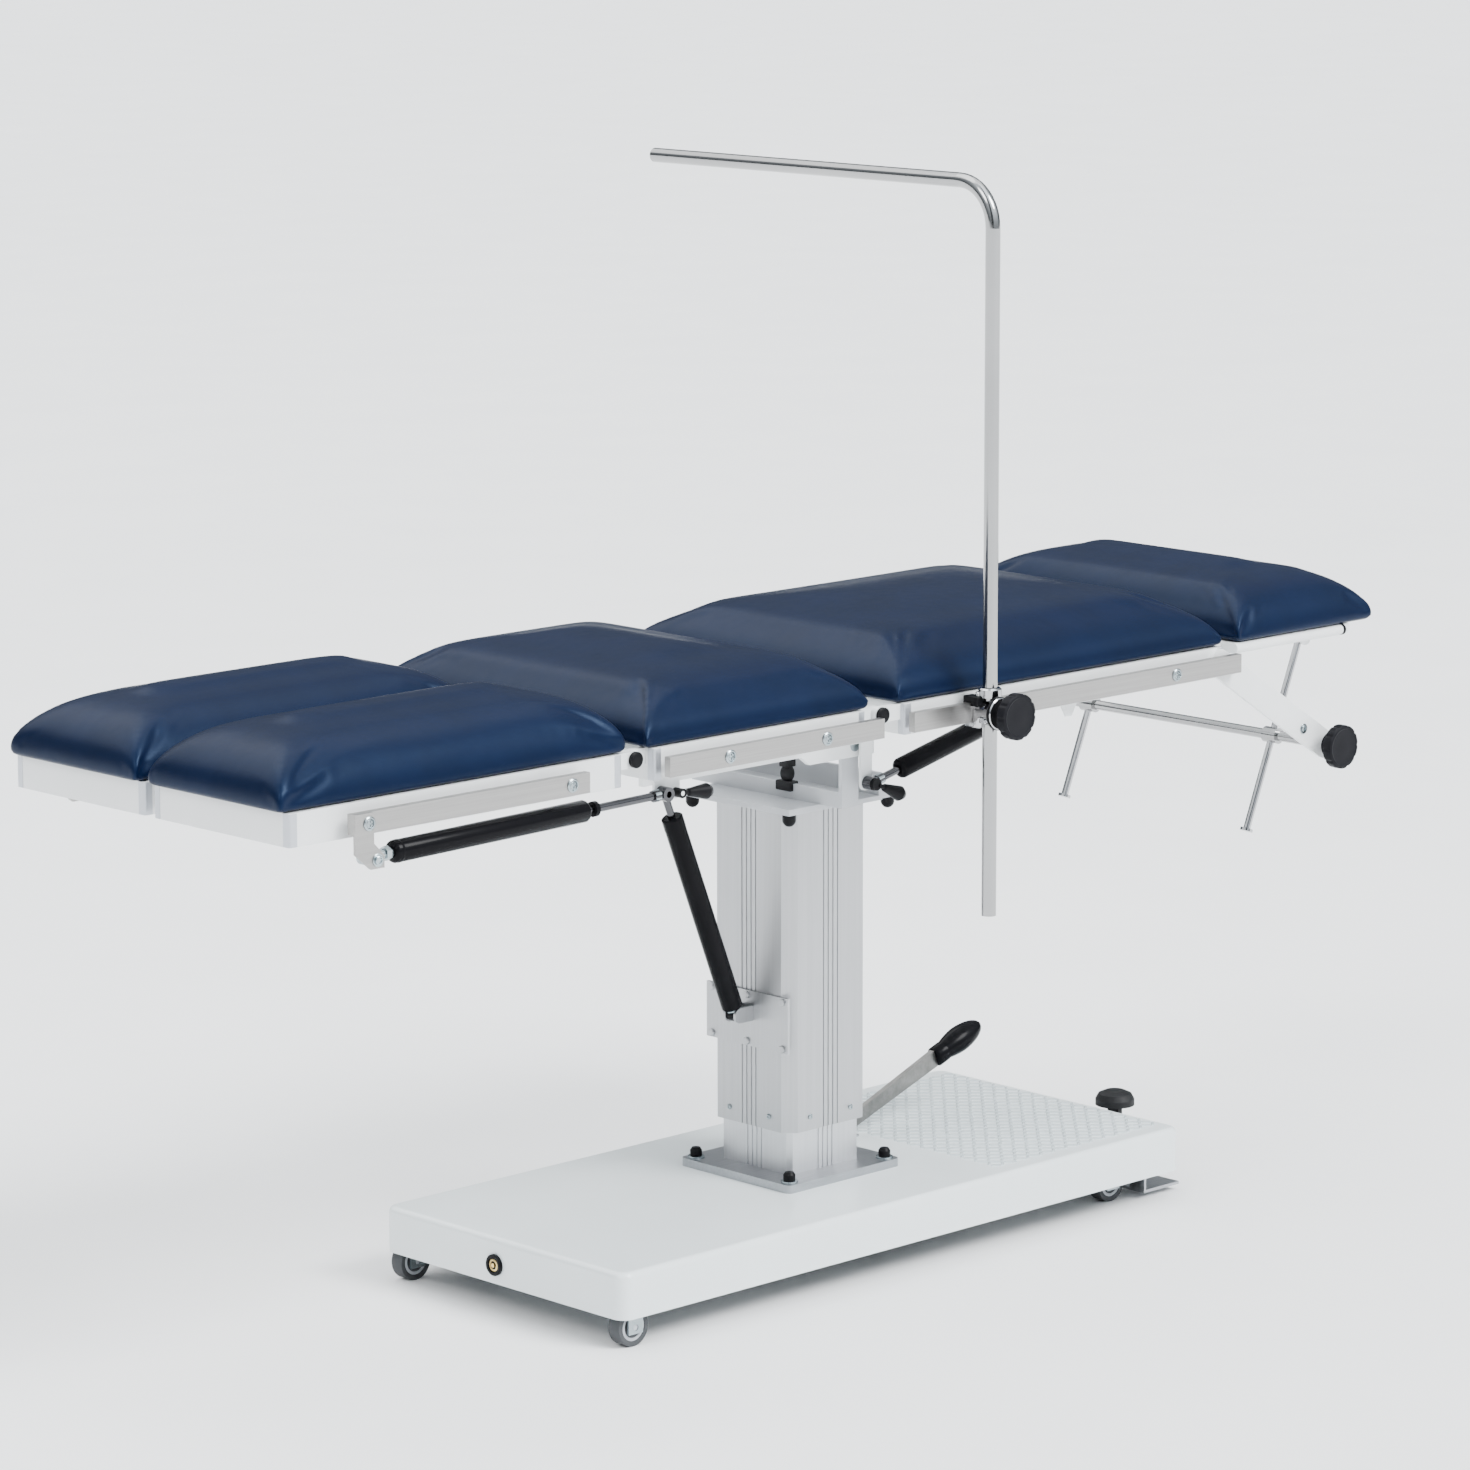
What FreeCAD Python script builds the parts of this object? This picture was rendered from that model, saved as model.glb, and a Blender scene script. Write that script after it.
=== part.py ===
import FreeCAD, Part
import os
import re
import Sketcher

# Operating table, +Z up, X towards the head end, the rails' pole side at -Y.
# The origin is on the floor under the middle of the whole table.
# Lengths are in millimetres. Places along X are measured from the column's axis.
SIZES = {
    # the column's axis, as seen from the middle of the whole table
    "column_x": 98,
    # base tray, a deep-drawn cover that is open underneath
    "tray_length": 1034,
    "tray_width": 454,
    "tray_shift": 5,
    "tray_bottom": 39,
    "tray_height": 60,
    "tray_wall": 3,
    "tray_corner": 18,
    "tray_edge": 8,
    # welded chassis of square tubes under the tray
    "chassis_width": 40,
    "chassis_height": 30,
    "chassis_wall": 3,
    "chassis_front": 502,
    "chassis_rear": 506,
    "front_crossbar_span": 424,
    "column_crossbar_x": 62,
    # castors: the front pair is rigid, the rear pair swivels
    "wheel_radius": 25,
    "wheel_width": 20,
    "wheel_bore": 4,
    "wheel_edge": 3,
    "hub_radius": 17,
    "hub_dish": 1.5,
    "axle_overhang": 3,
    "fork_gap": 1.5,
    "fork_plate": 2.5,
    "fork_width": 24,
    "fork_base": 4,
    "stem_radius": 6,
    "stem_length": 14,
    "front_castor_x": 484,
    "front_castor_y": 206,
    "rear_castor_x": 438,
    "rear_castor_y": 166,
    "castor_trail": 18,
    # clearances
    "running_gap": 0.05,
    "moving_gap": 0.3,
    "drill_over": 1,
    # column
    "foot_plate_side": 206,
    "foot_plate_thickness": 11,
    "foot_plate_corner": 8,
    "bolt_inset": 15,
    "bolt_radius": 5,
    "bolt_clearance": 0.5,
    "washer_radius": 10,
    "washer_thickness": 2,
    "cap_radius": 8,
    "cap_height": 15,
    "inner_side": 130,
    "inner_wall": 6,
    "inner_top": 470,
    "outer_side": 150,
    "outer_wall": 8,
    "outer_bottom": 168,
    "head_plate_drop": 160.5,
    "inner_corner": 6,
    "outer_corner": 15,
    "hollow_corner": 8,
    "groove_width": 2.4,
    "groove_depth": 1.2,
    "groove_pitch": 8.5,
    "glide_width": 36,
    "glide_height": 90,
    "jack_radius": 32,
    "jack_top": 430,
    "jack_floor": 8,
    "ram_radius": 18,
    "ram_bottom": 160,
    # head of the column and the tilting yoke
    "head_plate_side": 200,
    "head_plate_thickness": 8,
    "head_nut_inset": 10,
    "yoke_front": 44,
    "yoke_back": 36,
    "yoke_wall": 6,
    "yoke_span": 279,
    "yoke_front_height": 20,
    "yoke_back_height": 36,
    "upright_width": 30,
    "tilt_drop": 70.5,
    "upright_rise": 13,
    "upright_corner": 12,
    "tilt_pin_radius": 8,
    "pin_clear_x": -20,
    # table sections, each a folded pan with a rail on both sides
    "top_height": 758.5,
    "pan_height": 40,
    "pan_wall": 3,
    "pan_corner": 3,
    "table_width": 514,
    "leg_gap": 18,
    "leg_outer": 1052,
    "leg_parting": 54,
    "seat_front": 483,
    "seat_back": 121,
    "back_parting": 71,
    "back_end": 559,
    "hinge_drop": 10.5,
    "head_hinge_reach": 19,
    "head_hinge_drop": 7,
    "lug_thickness": 8,
    "lug_radius": 10,
    "lug_corner": 9,
    "hinge_pin_radius": 6,
    "lug_inset": 14.5,
    # side rails for clamps
    "rail_height": 25,
    "rail_thickness": 10,
    "rail_drop": 8.5,
    "rail_standoff": 12,
    "spacer_radius": 8,
    "leg_spacer_inset": 28,
    "seat_spacer_inset": 101,
    "back_spacer_inset": 130,
    "leg_rail_outer_inset": 76,
    "leg_rail_inner_inset": 71,
    "seat_rail_front_inset": 6,
    "seat_rail_overhang": 13,
    "back_rail_overhang": 4,
    "back_rail_end_overhang": 13,
    # cushions
    "cushion_height": 90,
    "cushion_crown": 86,
    "cushion_overhang": 12,
    "leg_cushion_overhang": 14,
    "cushion_rest_gap": 0.3,
    "cushion_parting": 14,
    "head_cushion_height": 84,
    "head_cushion_crown": 70,
    # frame that carries the seat on the yoke
    "bar_thickness": 8,
    "bar_height": 34,
    "bar_front_inset": 83,
    "bar_back": 6,
    "bar_step": 125,
    "bar_nose": 15,
    "bar_crossbar_width": 40,
    "bar_crossbar_height": 8,
    # gas springs
    "spring_radius": 14,
    "spring_rod_radius": 5,
    "spring_cap": 10,
    "eye_radius": 9,
    "eye_thickness": 15,
    "eye_bore": 4,
    "ear_thickness": 4,
    "ear_radius": 10,
    "ear_corner": 9,
    "leg_spring_outset": 5,
    "leg_spring_outer_inset": 33,
    "leg_spring_outer_drop": 65.5,
    "leg_spring_inner_inset": 13,
    "leg_spring_inner_drop": 56.5,
    "leg_rod_showing": 128.1,
    "leg_bracket_width": 28,
    "leg_bracket_thickness": 4,
    "collar_ring_radius": 7,
    "back_spring_y": 165,
    "back_spring_lower_x": 17,
    "back_spring_lower_drop": 49,
    "back_spring_upper_x": 300,
    "back_spring_upper_drop": 46.5,
    "back_rod_showing": 125.3,
    "tilt_spring_lower_x": 101,
    "tilt_spring_lower_rise": 8,
    "tilt_spring_upper_x": 235,
    "tilt_spring_upper_drop": 102.5,
    "tilt_rod_showing": 60.8,
    "leg_rod_inset": 22,
    "back_rod_inset": 147,
    "tilt_rod_inset": 70,
    "piston_length": 8,
    "ferrule_radius": 7,
    "ferrule_length": 10,
    "neck_length": 11,
    "neck_radius": 6,
    "spring_edge": 2,
    # release handles of the gas springs
    "handle_length": 46,
    "handle_root": 5,
    "handle_tip": 10,
    "handle_stem": 3,
    "handle_neck": 8,
    "handle_flare": 2,
    "handle_round": 6,
    "handle_end": 7,
    "lever_hub_radius": 6,
    "lever_hub_bore": 3,
    "leg_lever_spacing": 24,
    "leg_lever_drop": 58.5,
    "leg_lever_slope": 95,
    "leg_lever_pin": 14,
    "leg_ear_overhang": 8,
    "back_lever_slope": 113,
    "back_lever_plate": 4,
    "back_lever_radius": 8,
    # bracket that holds the lower end of the tilt spring
    "bracket_width": 152,
    "bracket_bottom": 276,
    "bracket_height": 74,
    "bracket_thickness": 4,
    "bracket_screw_radius": 5,
    "bracket_screw_height": 3,
    "bracket_screw_rise": 31,
    "bracket_screw_span": 66,
    # pump lever
    "pump_hinge_x": 150,
    "pump_hinge_rise": 15,
    "pump_y": 50,
    "pump_base_height": 3,
    "pump_base_length": 44,
    "pump_ear_width": 36,
    "pump_ear_margin": 4,
    "pump_pin_overhang": 2,
    "lever_slope": 20.6,
    "lever_length": 205,
    "lever_width": 24,
    "lever_thickness": 8,
    "lever_pin_radius": 6,
    "lever_tail": 9,
    "lever_tail_width": 16.8,
    "grip_length": 78,
    "grip_width": 36,
    "grip_thickness": 24,
    # floor pedals
    "brake_plate_x": 478,
    "brake_plate_length": 71,
    "brake_plate_y": 200,
    "brake_plate_width": 48,
    "brake_plate_height": 8,
    "brake_leg_width": 26,
    "pedal_plate": 4,
    "pedal_hub": 7,
    "pedal_pin": 4,
    "brake_pivot_x": 472,
    "brake_pivot_z": 56,
    "hanger_width": 14,
    "hanger_depth": 10,
    "release_y": 80,
    "release_pivot_x": 499,
    "release_pivot_z": 56,
    "release_x": 550,
    "release_low": 26,
    "release_bar": 8,
    "release_arm_width": 20,
    "release_pad_radius": 27,
    "release_pad_bottom": 98,
    "release_pad_top": 119,
    # earth socket on the leg-end face
    "socket_y": 10,
    "socket_z": 64,
    "socket_radius": 14,
    "socket_depth": 5,
    "socket_bore": 8,
    "socket_pin": 3,
    # head section
    "head_start_reach": 31,
    "head_tube_length": 222,
    "head_tube_radius": 7,
    "head_tube_inset": 1,
    "head_board": 4,
    "head_crossbar_width": 28,
    "head_lug_inset": 37,
    "head_lug_radius": 7,
    "head_lug_corner": 6,
    "head_pin_radius": 4,
    "head_cushion_overhang": 62,
    "arm_width": 38,
    "arm_thickness": 6,
    "arm_root_inset": 11,
    "arm_root_drop": 20.5,
    "cross_reach": 207,
    "cross_drop": 158.5,
    "cross_radius": 7,
    "cross_overhang": 8,
    "collar_radius": 11,
    "collar_length": 24,
    "head_rod_radius": 5,
    "head_rod_y": 170,
    "head_rod_reach": 54,
    "head_rod_top_drop": 27.5,
    "head_rod_length": 280,
    "foot_washer_radius": 9,
    "foot_washer_thickness": 4,
    "knob_radius": 30,
    "knob_height": 26,
    "lobe_radius": 9,
    "lobe_pitch": 35,
    "knob_bore": 5,
    # anaesthesia screen
    "screen_x": 68.6,
    "screen_outset": 36,
    "screen_radius": 9.5,
    "screen_wall": 1.5,
    "screen_hang": 285.5,
    "screen_rise": 651.5,
    "screen_bend": 57,
    "screen_reach": 325,
    "clamp_length": 40,
    "clamp_wall": 7,
    "clamp_lip": 4,
    "ring_radius": 15,
    "ring_height": 12,
    "screen_knob_stem": 12,
}

# Places that follow from other sizes, as formulas of them.
PLACES = {
    "pump_hinge_z": "tray_bottom + tray_height + pump_hinge_rise",
    "outer_top": "top_height - head_plate_drop",
    "tilt_height": "top_height - tilt_drop",
    "hinge_height": "top_height - hinge_drop",
    "leg_inner": "seat_front + leg_parting",
    "back_front": "seat_back - back_parting",
    "head_hinge_x": "back_end + head_hinge_reach",
    "head_hinge_z": "top_height - head_hinge_drop",
    "leg_rail_outer": "leg_outer - leg_rail_outer_inset",
    "leg_rail_inner": "leg_inner + leg_rail_inner_inset",
    "seat_rail_front": "seat_front - seat_rail_front_inset",
    "seat_rail_back": "seat_back - seat_rail_overhang",
    "back_rail_front": "back_front + back_rail_overhang",
    "back_rail_end": "back_end + back_rail_end_overhang",
    "bar_front": "seat_front - bar_front_inset",
    "leg_spring_y": "table_width / 2 + leg_spring_outset",
    "leg_spring_outer_x": "leg_rail_outer - leg_spring_outer_inset",
    "leg_spring_outer_z": "top_height - leg_spring_outer_drop",
    "leg_spring_inner_x": "seat_front - leg_spring_inner_inset",
    "leg_spring_inner_z": "top_height - leg_spring_inner_drop",
    "back_spring_lower_z": "tilt_height - back_spring_lower_drop",
    "back_spring_upper_z": "top_height - back_spring_upper_drop",
    "tilt_spring_lower_z": "bracket_bottom + bracket_height / 2 + tilt_spring_lower_rise",
    "tilt_spring_upper_z": "top_height - tilt_spring_upper_drop",
    "leg_lever_x": "leg_spring_inner_x - leg_lever_spacing",
    "leg_lever_z": "top_height - leg_lever_drop",
    "leg_ear_end": "leg_lever_x - leg_ear_overhang",
    "head_start": "back_end + head_start_reach",
    "head_end": "head_start + head_tube_length",
    "head_lug_y": "table_width / 2 - head_lug_inset",
    "head_cushion_end": "head_end + head_cushion_overhang",
    "arm_root_x": "back_end - arm_root_inset",
    "arm_root_z": "top_height - arm_root_drop",
    "cross_x": "back_end + cross_reach",
    "cross_z": "top_height - cross_drop",
    "head_rod_top_x": "cross_x + head_rod_reach",
    "head_rod_top_z": "top_height - head_rod_top_drop",
    "screen_y": "table_width / 2 + screen_outset",
    "screen_bottom": "top_height - screen_hang",
    "screen_top": "top_height + screen_rise",
    "leg_hinge_x": "(leg_inner + seat_front) / 2",
    "back_hinge_x": "(seat_back + back_front) / 2",
}

document = FreeCAD.newDocument("OperatingTable")


def fill_sheet():
    """Write every driving size into the sheet and name its cell."""
    cells = document.addObject("Spreadsheet::Sheet", "Sizes")
    for row, (alias, value) in enumerate(SIZES.items(), start=1):
        cells.set(f"A{row}", alias)
        cells.set(f"B{row}", str(value))
        cells.setAlias(f"B{row}", alias)
    document.recompute()


def formula(text):
    """Put the sheet's name before each size in a formula."""
    return re.sub(r"[a-z_]+[a-z0-9_]*", lambda word: sheet_name(word.group(0)), str(text))


def sheet_name(word):
    """The sheet's cell of a size, or the formula of a place that follows from other sizes."""
    if word in PLACES:
        return "(" + formula(PLACES[word]) + ")"
    return "Sizes." + word if word in SIZES else word


def bind(thing, **formulas):
    for name, text in formulas.items():
        thing.setExpression(name, formula(text))


def place(thing, x="0", y="0", z="0", axis=None, angle="0"):
    """Put a piece at x from the column's axis, y and z, turned by an angle about an axis."""
    thing.setExpression("Placement.Base.x", formula(f"column_x + ({x})"))
    thing.setExpression("Placement.Base.y", formula(y))
    thing.setExpression("Placement.Base.z", formula(z))
    if axis is not None:
        thing.Placement = FreeCAD.Placement(FreeCAD.Vector(), FreeCAD.Rotation(FreeCAD.Vector(*axis), 1))
        thing.setExpression("Placement.Rotation.Angle", formula(angle))
    return thing


def named(kind, label):
    thing = document.addObject(kind, label)
    thing.Label = label
    return thing


def origin_plane(body, role):
    return next(plane for plane in body.Origin.OriginFeatures if plane.Role == role)


def fix_point(drawing, geometry, position, across, up):
    """Hold one point of a sketch at two formulas."""
    for kind, text in (("DistanceX", across), ("DistanceY", up)):
        number = drawing.addConstraint(Sketcher.Constraint(kind, -1, 1, geometry, position, 1.0))
        drawing.setExpression(f"Constraints[{number}]", formula(text))


def draw_outline(drawing, corners):
    """Draw a closed outline of straight lines through corners given as formulas."""
    first = drawing.GeometryCount
    count = len(corners)
    for number in range(count):
        start = FreeCAD.Vector(number + 1, (number * number) % 7, 0)
        end = FreeCAD.Vector(number + 2, ((number + 1) * (number + 1)) % 7 + 1, 0)
        drawing.addGeometry(Part.LineSegment(start, end), False)
    for number in range(count):
        following = first + (number + 1) % count
        drawing.addConstraint(Sketcher.Constraint("Coincident", first + number, 2, following, 1))
    for number, (across, up) in enumerate(corners):
        fix_point(drawing, first + number, 1, across, up)


def draw_circle(drawing, across, up, radius):
    number = drawing.addGeometry(Part.Circle(FreeCAD.Vector(1, 1, 0), FreeCAD.Vector(0, 0, 1), 1), False)
    fix_point(drawing, number, 3, across, up)
    size = drawing.addConstraint(Sketcher.Constraint("Radius", number, 1.0))
    drawing.setExpression(f"Constraints[{size}]", formula(radius))


def sketch(body, role, outlines=(), circles=()):
    drawing = body.newObject("Sketcher::SketchObject", body.Name + "_sketch")
    drawing.AttachmentSupport = [(origin_plane(body, role), "")]
    drawing.MapMode = "FlatFace"
    for outline in outlines:
        draw_outline(drawing, outline)
    for circle in circles:
        draw_circle(drawing, *circle)
    return drawing


def rectangle(left, right, low, high):
    return [(left, low), (right, low), (right, high), (left, high)]


def pad(body, drawing, length, both_ways=False, reverse=False):
    feature = body.newObject("PartDesign::Pad", body.Name + "_pad")
    feature.Profile = drawing
    feature.setExpression("Length", formula(length))
    feature.Midplane = both_ways
    feature.Reversed = reverse
    return feature


def pocket(body, drawing, length, both_ways=False, reverse=False):
    feature = body.newObject("PartDesign::Pocket", body.Name + "_pocket")
    feature.Profile = drawing
    feature.setExpression("Length", formula(length))
    feature.Midplane = both_ways
    feature.Reversed = reverse
    return feature


def edges_where(shape, wanted):
    return [f"Edge{number}" for number, edge in enumerate(shape.Edges, start=1) if wanted(edge)]


def round_edges(body, base, wanted, radius, kind="PartDesign::Fillet"):
    """Round the edges of the last feature that a test picks."""
    document.recompute()
    feature = body.newObject(kind, body.Name + "_round")
    feature.Base = (base, edges_where(base.Shape, wanted))
    feature.setExpression("Radius", formula(radius))
    return feature


def direction(edge):
    """The way an edge runs; a closed edge has none."""
    along = edge.lastVertex().Point - edge.firstVertex().Point
    return along.normalize() if along.Length > 0 else along


def is_upright(edge):
    return abs(direction(edge).z) > 0.99


def new_body(label):
    return named("PartDesign::Body", label)


def turned(label, outline):
    """A piece of revolution about its own Z axis, from an outline of radius and height."""
    body = new_body(label)
    drawing = sketch(body, "XZ_Plane", [outline])
    feature = body.newObject("PartDesign::Revolution", label + "_turn")
    feature.Profile = drawing
    feature.ReferenceAxis = (drawing, ["V_Axis"])
    feature.Angle = 360
    return body


def plate(label, role, outlines, thickness, circles=(), both_ways=True, reverse=False):
    """A flat piece cut from an outline on one of the main planes."""
    body = new_body(label)
    pad(body, sketch(body, role, outlines, circles), thickness, both_ways, reverse)
    return body


def block(label, length, width, height, x, y, z):
    """A rectangular bar with its lowest corner at x, y, z."""
    bar = named("Part::Box", label)
    bind(bar, Length=length, Width=width, Height=height)
    return place(bar, x, y, z)


def rod(label, radius, length, x, y, z, axis=None, angle="0"):
    bar = named("Part::Cylinder", label)
    bind(bar, Radius=radius, Height=length)
    return place(bar, x, y, z, axis, angle)


def joined(label, pieces):
    """Pieces that are welded to one solid, or that stay apart in one group."""
    whole = named("Part::MultiFuse", label)
    whole.Shapes = pieces
    return whole


def group(label, pieces):
    whole = named("Part::Compound", label)
    whole.Links = pieces
    return whole


def drilled(label, base, tools):
    whole = named("Part::Cut", label)
    whole.Base = base
    whole.Tool = tools[0] if len(tools) == 1 else joined(label + "_holes", tools)
    return whole


ACROSS = (1, 0, 0)
ALONG = (0, 1, 0)


def tube_along(label, length, x, y, z, role):
    """A square tube of the chassis, centred on x, y at half its length."""
    half = "chassis_width / 2"
    wall = "chassis_wall"
    outer = rectangle(f"-{half}", half, "0", "chassis_height")
    inner = rectangle(f"-{half} + {wall}", f"{half} - {wall}", wall, f"chassis_height - {wall}")
    return place(plate(label, role, [outer, inner], length), x, y, z)


def make_tray():
    """The deep-drawn cover of the base: rounded corners, rounded rim, open underneath."""
    tray = new_body("base_tray")
    half_length, half_width = "tray_length / 2", "tray_width / 2"
    solid = pad(tray, sketch(tray, "XY_Plane", [rectangle("-" + half_length, half_length,
                                                          "-" + half_width, half_width)]), "tray_height")
    corners = round_edges(tray, solid, is_upright, "tray_corner")
    document.recompute()
    top = corners.Shape.BoundBox.ZMax
    rim = round_edges(tray, corners, lambda edge: edge.BoundBox.ZMin > top - 1, "tray_edge")
    document.recompute()
    floor = [f"Face{number}" for number, face in enumerate(rim.Shape.Faces, start=1)
             if face.BoundBox.ZMax < 1]
    shell = tray.newObject("PartDesign::Thickness", "tray_shell")
    shell.Base = (rim, floor)
    shell.setExpression("Value", formula("tray_wall"))
    shell.Reversed = True
    return [place(tray, "tray_shift", "0", "tray_bottom")]


def make_chassis(hangers):
    """Two side tubes, a front crossbar that carries the rigid castors, and three short crossbars."""
    under = "tray_bottom + tray_height - tray_wall - chassis_height"
    half = "chassis_width / 2"
    side_length = f"chassis_front - chassis_width + chassis_rear"
    side_middle = f"(chassis_rear - chassis_front + chassis_width) / 2"
    between = f"2 * (rear_castor_y - {half})"
    tubes = [tube_along("chassis_front_bar", "front_crossbar_span", f"{half} - chassis_front", "0", under,
                        "XZ_Plane")]
    for name, side in (("near", "-"), ("far", "")):
        side_tube = tube_along(f"chassis_side_{name}_tube", side_length, side_middle,
                               f"{side}rear_castor_y", under, "YZ_Plane")
        socket = rod(f"chassis_stem_hole_{name}", "stem_radius + running_gap", "chassis_height",
                     "rear_castor_x - castor_trail", f"{side}rear_castor_y", f"{under} - chassis_wall")
        tubes.append(drilled(f"chassis_side_{name}", side_tube, [socket]))
    for name, x in (("a", "-column_crossbar_x"), ("b", "column_crossbar_x"), ("c", f"chassis_rear - {half}")):
        tubes.append(tube_along(f"chassis_crossbar_{name}", between, x, "0", under, "XZ_Plane"))
    return [group("chassis", tubes + hangers)]


def wheel_outline():
    """Half section of a wheel with a dished hub and a rounded tread, and its axle in one."""
    half = "wheel_width / 2"
    return [("0", f"-{half} - axle_overhang"), ("wheel_bore", f"-{half} - axle_overhang"),
            ("wheel_bore", f"-{half} + hub_dish"), ("hub_radius", f"-{half} + hub_dish"),
            ("hub_radius", f"-{half}"), ("wheel_radius - wheel_edge", f"-{half}"),
            ("wheel_radius", f"-{half} + wheel_edge"), ("wheel_radius", f"{half} - wheel_edge"),
            ("wheel_radius - wheel_edge", half), ("hub_radius", half),
            ("hub_radius", f"{half} - hub_dish"), ("wheel_bore", f"{half} - hub_dish"),
            ("wheel_bore", f"{half} + axle_overhang"), ("0", f"{half} + axle_overhang")]


def make_fork(label, x, y, top, stem):
    """A castor fork: a folded U over the wheel with bores for the axle, and a stem if it swivels."""
    inner = "wheel_width / 2 + fork_gap"
    outer = f"{inner} + fork_plate"
    height = f"({top}) - wheel_radius"
    legs = plate(label + "_legs", "YZ_Plane", [[
        (f"-({outer})", "-wheel_bore - fork_base"), (f"-({inner})", "-wheel_bore - fork_base"),
        (f"-({inner})", f"{height} - fork_base"), (inner, f"{height} - fork_base"),
        (inner, "-wheel_bore - fork_base"), (outer, "-wheel_bore - fork_base"),
        (outer, height), (f"-({outer})", height)]], "fork_width")
    place(legs, x, y, "wheel_radius")
    hole = rod(label + "_bore", "wheel_bore + running_gap", f"2 * ({outer}) + 2", x,
               f"({y}) + {outer} + 1", "wheel_radius", ACROSS, "90")
    fork = drilled(label + "_u", legs, [hole])
    if not stem:
        return fork
    reach = block(label + "_reach", "castor_trail + stem_radius", "2 * stem_radius", "fork_base",
                  f"{x} - castor_trail - stem_radius", f"({y}) - stem_radius", f"({top}) - fork_base")
    pin = rod(label + "_stem", "stem_radius", "stem_length + fork_base", f"{x} - castor_trail", y,
              f"({top}) - fork_base")
    return joined(label, [fork, reach, pin])


def make_castors():
    under = "tray_bottom + tray_height - tray_wall - chassis_height"
    front = [make_fork(f"front_fork_{name}", "-front_castor_x", f"{side}front_castor_y", under, False)
             for name, side in (("near", "-"), ("far", ""))]
    pieces = [group("front_castor_forks", front)]
    for name, side in (("near", "-"), ("far", "")):
        pieces.append(make_fork(f"rear_castor_fork_{name}", "rear_castor_x", f"{side}rear_castor_y",
                                f"{under} - moving_gap", True))
        for end, x, y in (("front", "-front_castor_x", "front_castor_y"),
                          ("rear", "rear_castor_x", "rear_castor_y")):
            wheel = turned(f"{end}_wheel_{name}", wheel_outline())
            pieces.append(place(wheel, x, side + y, "wheel_radius", ACROSS, "90"))
    return pieces


def make_earth_socket():
    """Potential-equalisation socket: a ring with a contact pin, standing on the leg-end face."""
    ring = turned("earth_ring", [("socket_bore", "0"), ("socket_radius", "0"),
                                 ("socket_radius", "socket_depth - 1"), ("socket_radius - 1", "socket_depth"),
                                 ("socket_bore", "socket_depth")])
    pin = turned("earth_pin", [("0", "0"), ("socket_bore", "0"), ("socket_bore", "1"), ("socket_pin", "1"),
                               ("socket_pin", "socket_depth"), ("0", "socket_depth")])
    for piece in (ring, pin):
        place(piece, "tray_shift - tray_length / 2", "socket_y", "socket_z", ALONG, "-90")
    return [group("earth_socket", [ring, pin])]


GROOVES = [f"{step} * groove_pitch" for step in (-1.5, -0.5, 0.5, 1.5)]


def cut_square(half, corner, grooves=()):
    """Corners of a square profile with cut corners and narrow grooves down the middle of each face."""
    side = [(f"-({half}) + {corner}", f"-({half})")]
    for middle in grooves:
        left, right = f"{middle} - groove_width / 2", f"{middle} + groove_width / 2"
        side += [(left, f"-({half})"), (left, f"-({half}) + groove_depth"),
                 (right, f"-({half}) + groove_depth"), (right, f"-({half})")]
    side.append((f"({half}) - {corner}", f"-({half})"))
    corners = []
    for _ in range(4):
        corners += side
        side = [(f"-({up})", across) for across, up in side]
    return corners


def square(half):
    return rectangle(f"-({half})", half, f"-({half})", half)


def at_corners(inset):
    return [(sx + inset, sy + inset) for sx, sy in (("", ""), ("-", ""), ("-", "-"), ("", "-"))]


def make_foot():
    """Foot plate of the column with four washers and capped bolts."""
    half = "foot_plate_side / 2"
    bolts = at_corners("(foot_plate_side / 2 - bolt_inset)")
    floor = "tray_bottom + tray_height"
    foot = new_body("column_foot_plate")
    solid = pad(foot, sketch(foot, "XY_Plane", [square(half)],
                             [(x, y, "bolt_radius + bolt_clearance") for x, y in bolts]),
                "foot_plate_thickness")
    round_edges(foot, solid, is_upright, "foot_plate_corner")
    place(foot, "0", "0", floor)
    outline = [("0", "-foot_plate_thickness"), ("bolt_radius", "-foot_plate_thickness"), ("bolt_radius", "0"),
               ("washer_radius", "0"), ("washer_radius", "washer_thickness"),
               ("cap_radius", "washer_thickness"), ("cap_radius", "cap_height - cap_radius * 0.6"),
               ("cap_radius * 0.7", "cap_height - cap_radius * 0.15"), ("0", "cap_height")]
    caps = []
    for number, (x, y) in enumerate(bolts):
        cap = turned(f"foot_bolt_{number + 1}", outline)
        caps.append(place(cap, x, y, f"{floor} + foot_plate_thickness"))
    return [foot, group("foot_plate_bolts", caps)]


def make_column():
    base = "tray_bottom + tray_height + foot_plate_thickness"
    inner = plate("column_inner", "XY_Plane",
                  [cut_square("inner_side / 2", "inner_corner", GROOVES),
                   square("inner_side / 2 - inner_wall")],
                  f"inner_top - ({base})", both_ways=False)
    place(inner, "0", "0", base)
    outer = plate("column_outer", "XY_Plane",
                  [cut_square("outer_side / 2", "outer_corner", GROOVES),
                   cut_square("outer_side / 2 - outer_wall", "hollow_corner")],
                  "outer_top - outer_bottom", both_ways=False)
    place(outer, "0", "0", "outer_bottom")
    bore = "ram_radius + moving_gap"
    jack = turned("hydraulic_cylinder", [("0", "0"), ("jack_radius", "0"), ("jack_radius", f"jack_top - ({base})"),
                                         (bore, f"jack_top - ({base})"), (bore, "jack_floor"),
                                         ("0", "jack_floor")])
    place(jack, "0", "0", base)
    ram = rod("hydraulic_ram", "ram_radius", "outer_top - ram_bottom", "0", "0", "ram_bottom")
    return [inner, make_glides(), jack, outer, ram]


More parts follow.
